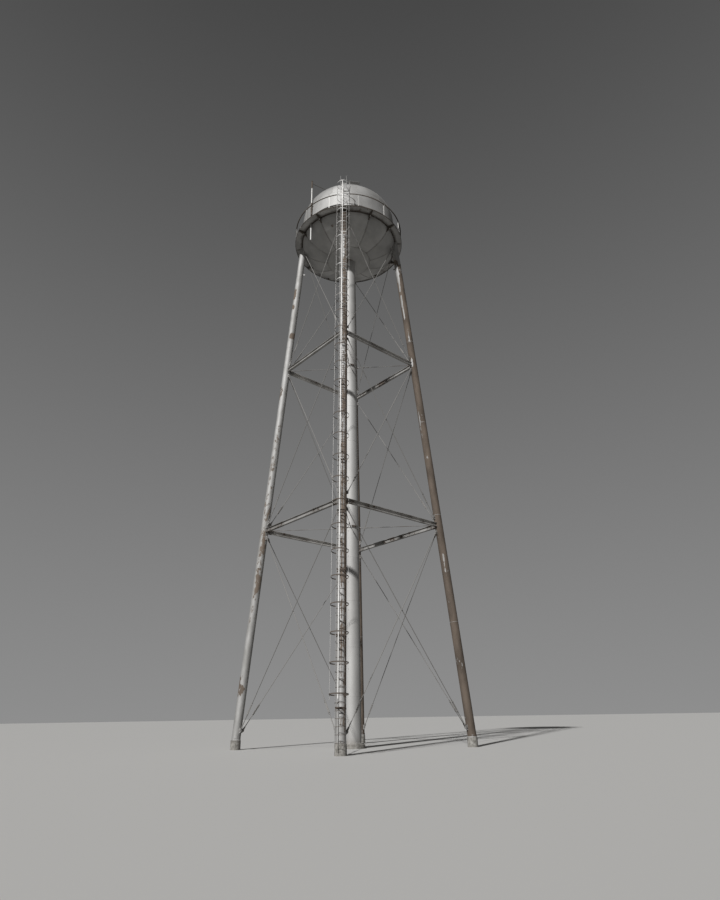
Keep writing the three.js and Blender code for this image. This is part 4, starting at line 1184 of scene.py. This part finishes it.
def cageShapes(low, high, heights):
    # Hoops, upright bars inside them, and a bolt head at each crossing
    turns = np.radians(cage["barTurns"])
    outward = stacked(np.sin(turns), np.cos(turns), 0.0)
    middle = np.array([0, cageCentre, 0])
    spot = middle + outward * (cage["radius"] - cage["bar"][1] / 2)
    bar = bars(spot + [0, 0, low], spot + [0, 0, high], oblong(*cage["bar"]), outward[:, None], stations=20)
    shapes = [hoopShapes(heights), *aged([bar], -ladder["kept"], cage["barTone"])]
    for direction in outward:
        centres = middle + direction * (cage["radius"] + cage["hoop"][0]) + stacked(0, 0, heights)
        shapes.append(boltHeads(centres, direction, *cage["barBolt"]))
    for side in (-1, 1):
        centres = stacked(side * cageHalf * cage["boltShare"], 0, heights)
        shapes.append(boltHeads(centres, (side, 0, 0), *cage["railBolt"]))
    return shapes


def legBands(heights):
    # Flat bands round the leg at the stand-offs, with a pair of ears and a bolt towards the ladder
    r, half, wide, ear = leg["radius"], ladder["bandHalf"], ladder["clampHalf"], ladder["earWidth"]
    near, far, shapes = r + ladder["bandGap"], r + ladder["bandGap"] + ladder["bandThickness"], []
    root, tip = r - ladder["earRoot"], r + ladder["earLength"]
    for z in heights:
        shapes.append(arcOf(band(near, far, z - half, z + half), 40))
        for x in (-ear, ear):
            shapes.append(bars([x, root, z], [x, tip, z], oblong(*ladder["earBar"])))
        shapes.append(bars([-wide, r + half, z], [wide, r + half, z], circle(ladder["clampRadius"], 8)))
        shapes.append(boltHeads([ladder["nutAt"], r + half, z], (1, 0, 0), *ladder["clampNut"]))
    return shapes


def onLeg(shapes, origin):
    # Placed on the leg, with wear added that changes in a straight line from the rusty to the painted level
    shapes, span = placed(shapes, legAxes, origin), [ladder["rustyBelow"], ladder["paintedAbove"]]
    for shape in shapes:
        shape["wear"] = shape["wear"] + np.interp(shape["points"][:, 2], span, ladder["wear"])
    return shapes


def buildLegLadder():
    # Two ladders one above the other, and the cage in lengths of a few hoops
    origin, ear = legFoot + legAxes[1] * ladder["legOffset"], ladder["earWidth"] + ladder["earGap"]
    top = (levels["balcony"] - ladder["belowBalcony"]) / legUp[2]
    middle, half = (levels["lowerStrut"] + levels["upperStrut"]) / 2, ladder["splice"] / 2
    reach = ladder["legOffset"] - leg["radius"] - ladder["earLength"] / 2
    for name, low, high in (("lower", ladder["low"], middle - half), ("upper", middle + half, top)):
        (rails, *rungs), standoffs = ladderShapes(low, high, reach, ear)
        rails = aged([rails], -ladder["kept"] * (rails["points"][:, 0] > 0))
        shapes = onLeg(rails + rungs, origin) + onLeg(legBands(standoffs), legFoot)
        makePiece(f"leg_ladder_{name}_bars", shapes, "ladder", f"leg_ladder_{name}", crease=50)
    lengths = []
    for hoops, low, high in ((cage["lowerHoops"], cage["start"], middle - half),
                             (cage["upperHoops"], middle + half, top)):
        hoopGroups = hoops.reshape(-1, cage["perLength"])
        joints = (hoopGroups[1:, 0] + hoopGroups[:-1, -1]) / 2  # half-way between two hoops
        lengths += zip([low, *(joints + half)], [*(joints - half), high], hoopGroups)
    for number, (low, high, heights) in enumerate(lengths, 1):
        shapes = onLeg(cageShapes(low, high, heights), origin)
        makePiece(f"leg_cage_{number}_hoops", shapes, "ladder", f"leg_cage_{number}")


def buildTankLadder():
    # The same ladder and cage, upright against the tank's side on the same bearing
    outward, level = unit(np.array([1.0, -1.0, 0])), levels["balcony"]
    place = np.array([legAcross, outward, [0, 0, 1.0]]), outward * (tankRadius + ladder["tankOffset"])
    reach, spread = ladder["tankOffset"] + ladder["intoShell"], ladder["width"] / 2
    rungs = ladderShapes(level + hair, levels["tankLadderHigh"], reach, spread)[0]
    hoops = cageShapes(level + hair, level + cage["tankHeight"], level + np.array(cage["tankHoops"]))
    makePiece("tankLadderBars", placed(rungs, *place), "ladder", "tank_ladder", crease=50)
    makePiece("tankCageHoops", placed(hoops, *place), "ladder", "tank_cage")


buildLegLadder()
buildTankLadder()
print("ladders and cages made")


# Studio: pale floor, soft key light, plain backdrop and the camera at the photograph's place

studio = {"floorRadius": 600.0, "floorMiddle": (2.0, 8.0), "floorRings": 13, "floorSides": 96,
          "floorColour": (0.60, 0.592, 0.575), "floorBounce": 0.45, "sunBearing": -68.0,
          "sunElevation": 36.0, "sunStrength": 3.3, "sunAngle": 2.4, "fill": 0.07, "backdropZenith": 0.035,
          "backdropHorizon": 0.27}
cameraPlace = {"distance": 33.514, "bearing": -40.254, "height": 1.486, "aimRight": 1.038, "pitch": 24.280,
               "roll": 0.890, "focal": 590.25, "tall": 900, "sensor": 36.0}  # focal length in pixels of 900


def buildFloor():
    # A flat disc: r cos a, r sin a on rings of growing radius
    rings, around = studio["floorRings"], studio["floorSides"]
    first, second = studio["floorMiddle"]
    radius = np.concatenate([[first], np.geomspace(second, studio["floorRadius"], rings - 1)])[:, None]
    angle = np.arange(around) * 2 * np.pi / around
    points = stacked(radius * np.cos(angle), radius * np.sin(angle), 0.0)
    index = np.arange(rings * around).reshape(rings, around)
    beside = np.roll(index, -1, axis=1)
    quads = stacked(index[:-1], index[1:], beside[1:], beside[:-1]).reshape(-1, 4)
    mesh = bpy.data.meshes.new("floor")
    mesh.from_pydata(points.reshape(-1, 3).tolist(), [], [*quads.tolist(), list(range(around))])
    floor = bpy.data.objects.new("floor", mesh)
    bpy.context.scene.collection.objects.link(floor)
    finish, tree, shader = newFinish("floorPaint")
    seen = node(tree, "LightPath").outputs["Is Camera Ray"]
    pale, dim = rgba(studio["floorColour"]), rgba(studio["floorColour"], studio["floorBounce"])
    feed(tree, shader, {"Base Color": mixColour(tree, seen, dim, pale), "Roughness": 0.9,
                        "Specular IOR Level": 0.1})
    mesh.materials.append(finish)


def buildLights():
    # A sun for the key light, and a backdrop that darkens upwards, which lights the tower as an even fill
    sun = bpy.data.lights.new("keyLight", "SUN")
    sun.energy = studio["sunStrength"]
    sun.angle = math.radians(studio["sunAngle"])
    lamp = bpy.data.objects.new("keyLight", sun)
    tilt = math.radians(90 - studio["sunElevation"])
    lamp.rotation_euler = (tilt, 0, math.radians(studio["sunBearing"] + 90))
    bpy.context.scene.collection.objects.link(lamp)
    world = bpy.data.worlds.new("studioWorld")
    bpy.context.scene.world = world
    world.use_nodes = True
    tree = world.node_tree
    direction = node(tree, "SeparateXYZ", {0: node(tree, "TexCoord").outputs["Generated"]}).outputs
    values = {"Value": direction["Z"], "From Min": 0.0, "From Max": 1.0, "To Min": studio["backdropHorizon"],
              "To Max": studio["backdropZenith"]}
    shade = node(tree, "MapRange", values).outputs["Result"]
    seen = node(tree, "LightPath").outputs["Is Camera Ray"]
    feed(tree, tree.nodes["Background"], {"Color": mixValue(tree, seen, studio["fill"], shade)})


def buildCamera():
    # The camera looks from its place towards the axis, turned aside, tilted up and rolled
    lens = bpy.data.cameras.new("photoCamera")
    lens.sensor_width = cameraPlace["sensor"]
    lens.lens = cameraPlace["focal"] * cameraPlace["sensor"] / cameraPlace["tall"]
    lens.clip_end = 3000.0
    camera = bpy.data.objects.new("photoCamera", lens)
    bearing, pitch, roll, aside = (math.radians(cameraPlace[key])
                                   for key in ("bearing", "pitch", "roll", "aimRight"))
    look, distance = bearing + math.pi - aside, cameraPlace["distance"]
    forward = np.array([math.cos(pitch) * math.cos(look), math.cos(pitch) * math.sin(look), math.sin(pitch)])
    right = np.array([math.sin(look), -math.cos(look), 0])
    up = np.cross(right, forward)
    right, up = right * math.cos(roll) - up * math.sin(roll), right * math.sin(roll) + up * math.cos(roll)
    matrix = np.eye(4)
    matrix[:3, 0], matrix[:3, 1], matrix[:3, 2] = right, up, -forward
    matrix[:3, 3] = [distance * math.cos(bearing), distance * math.sin(bearing), cameraPlace["height"]]
    camera.matrix_world = Matrix(matrix.tolist())
    bpy.context.scene.collection.objects.link(camera)
    bpy.context.scene.camera = camera


buildFloor()
buildLights()
buildCamera()
bpy.context.scene.view_settings.view_transform = "Standard"
print("studio made")
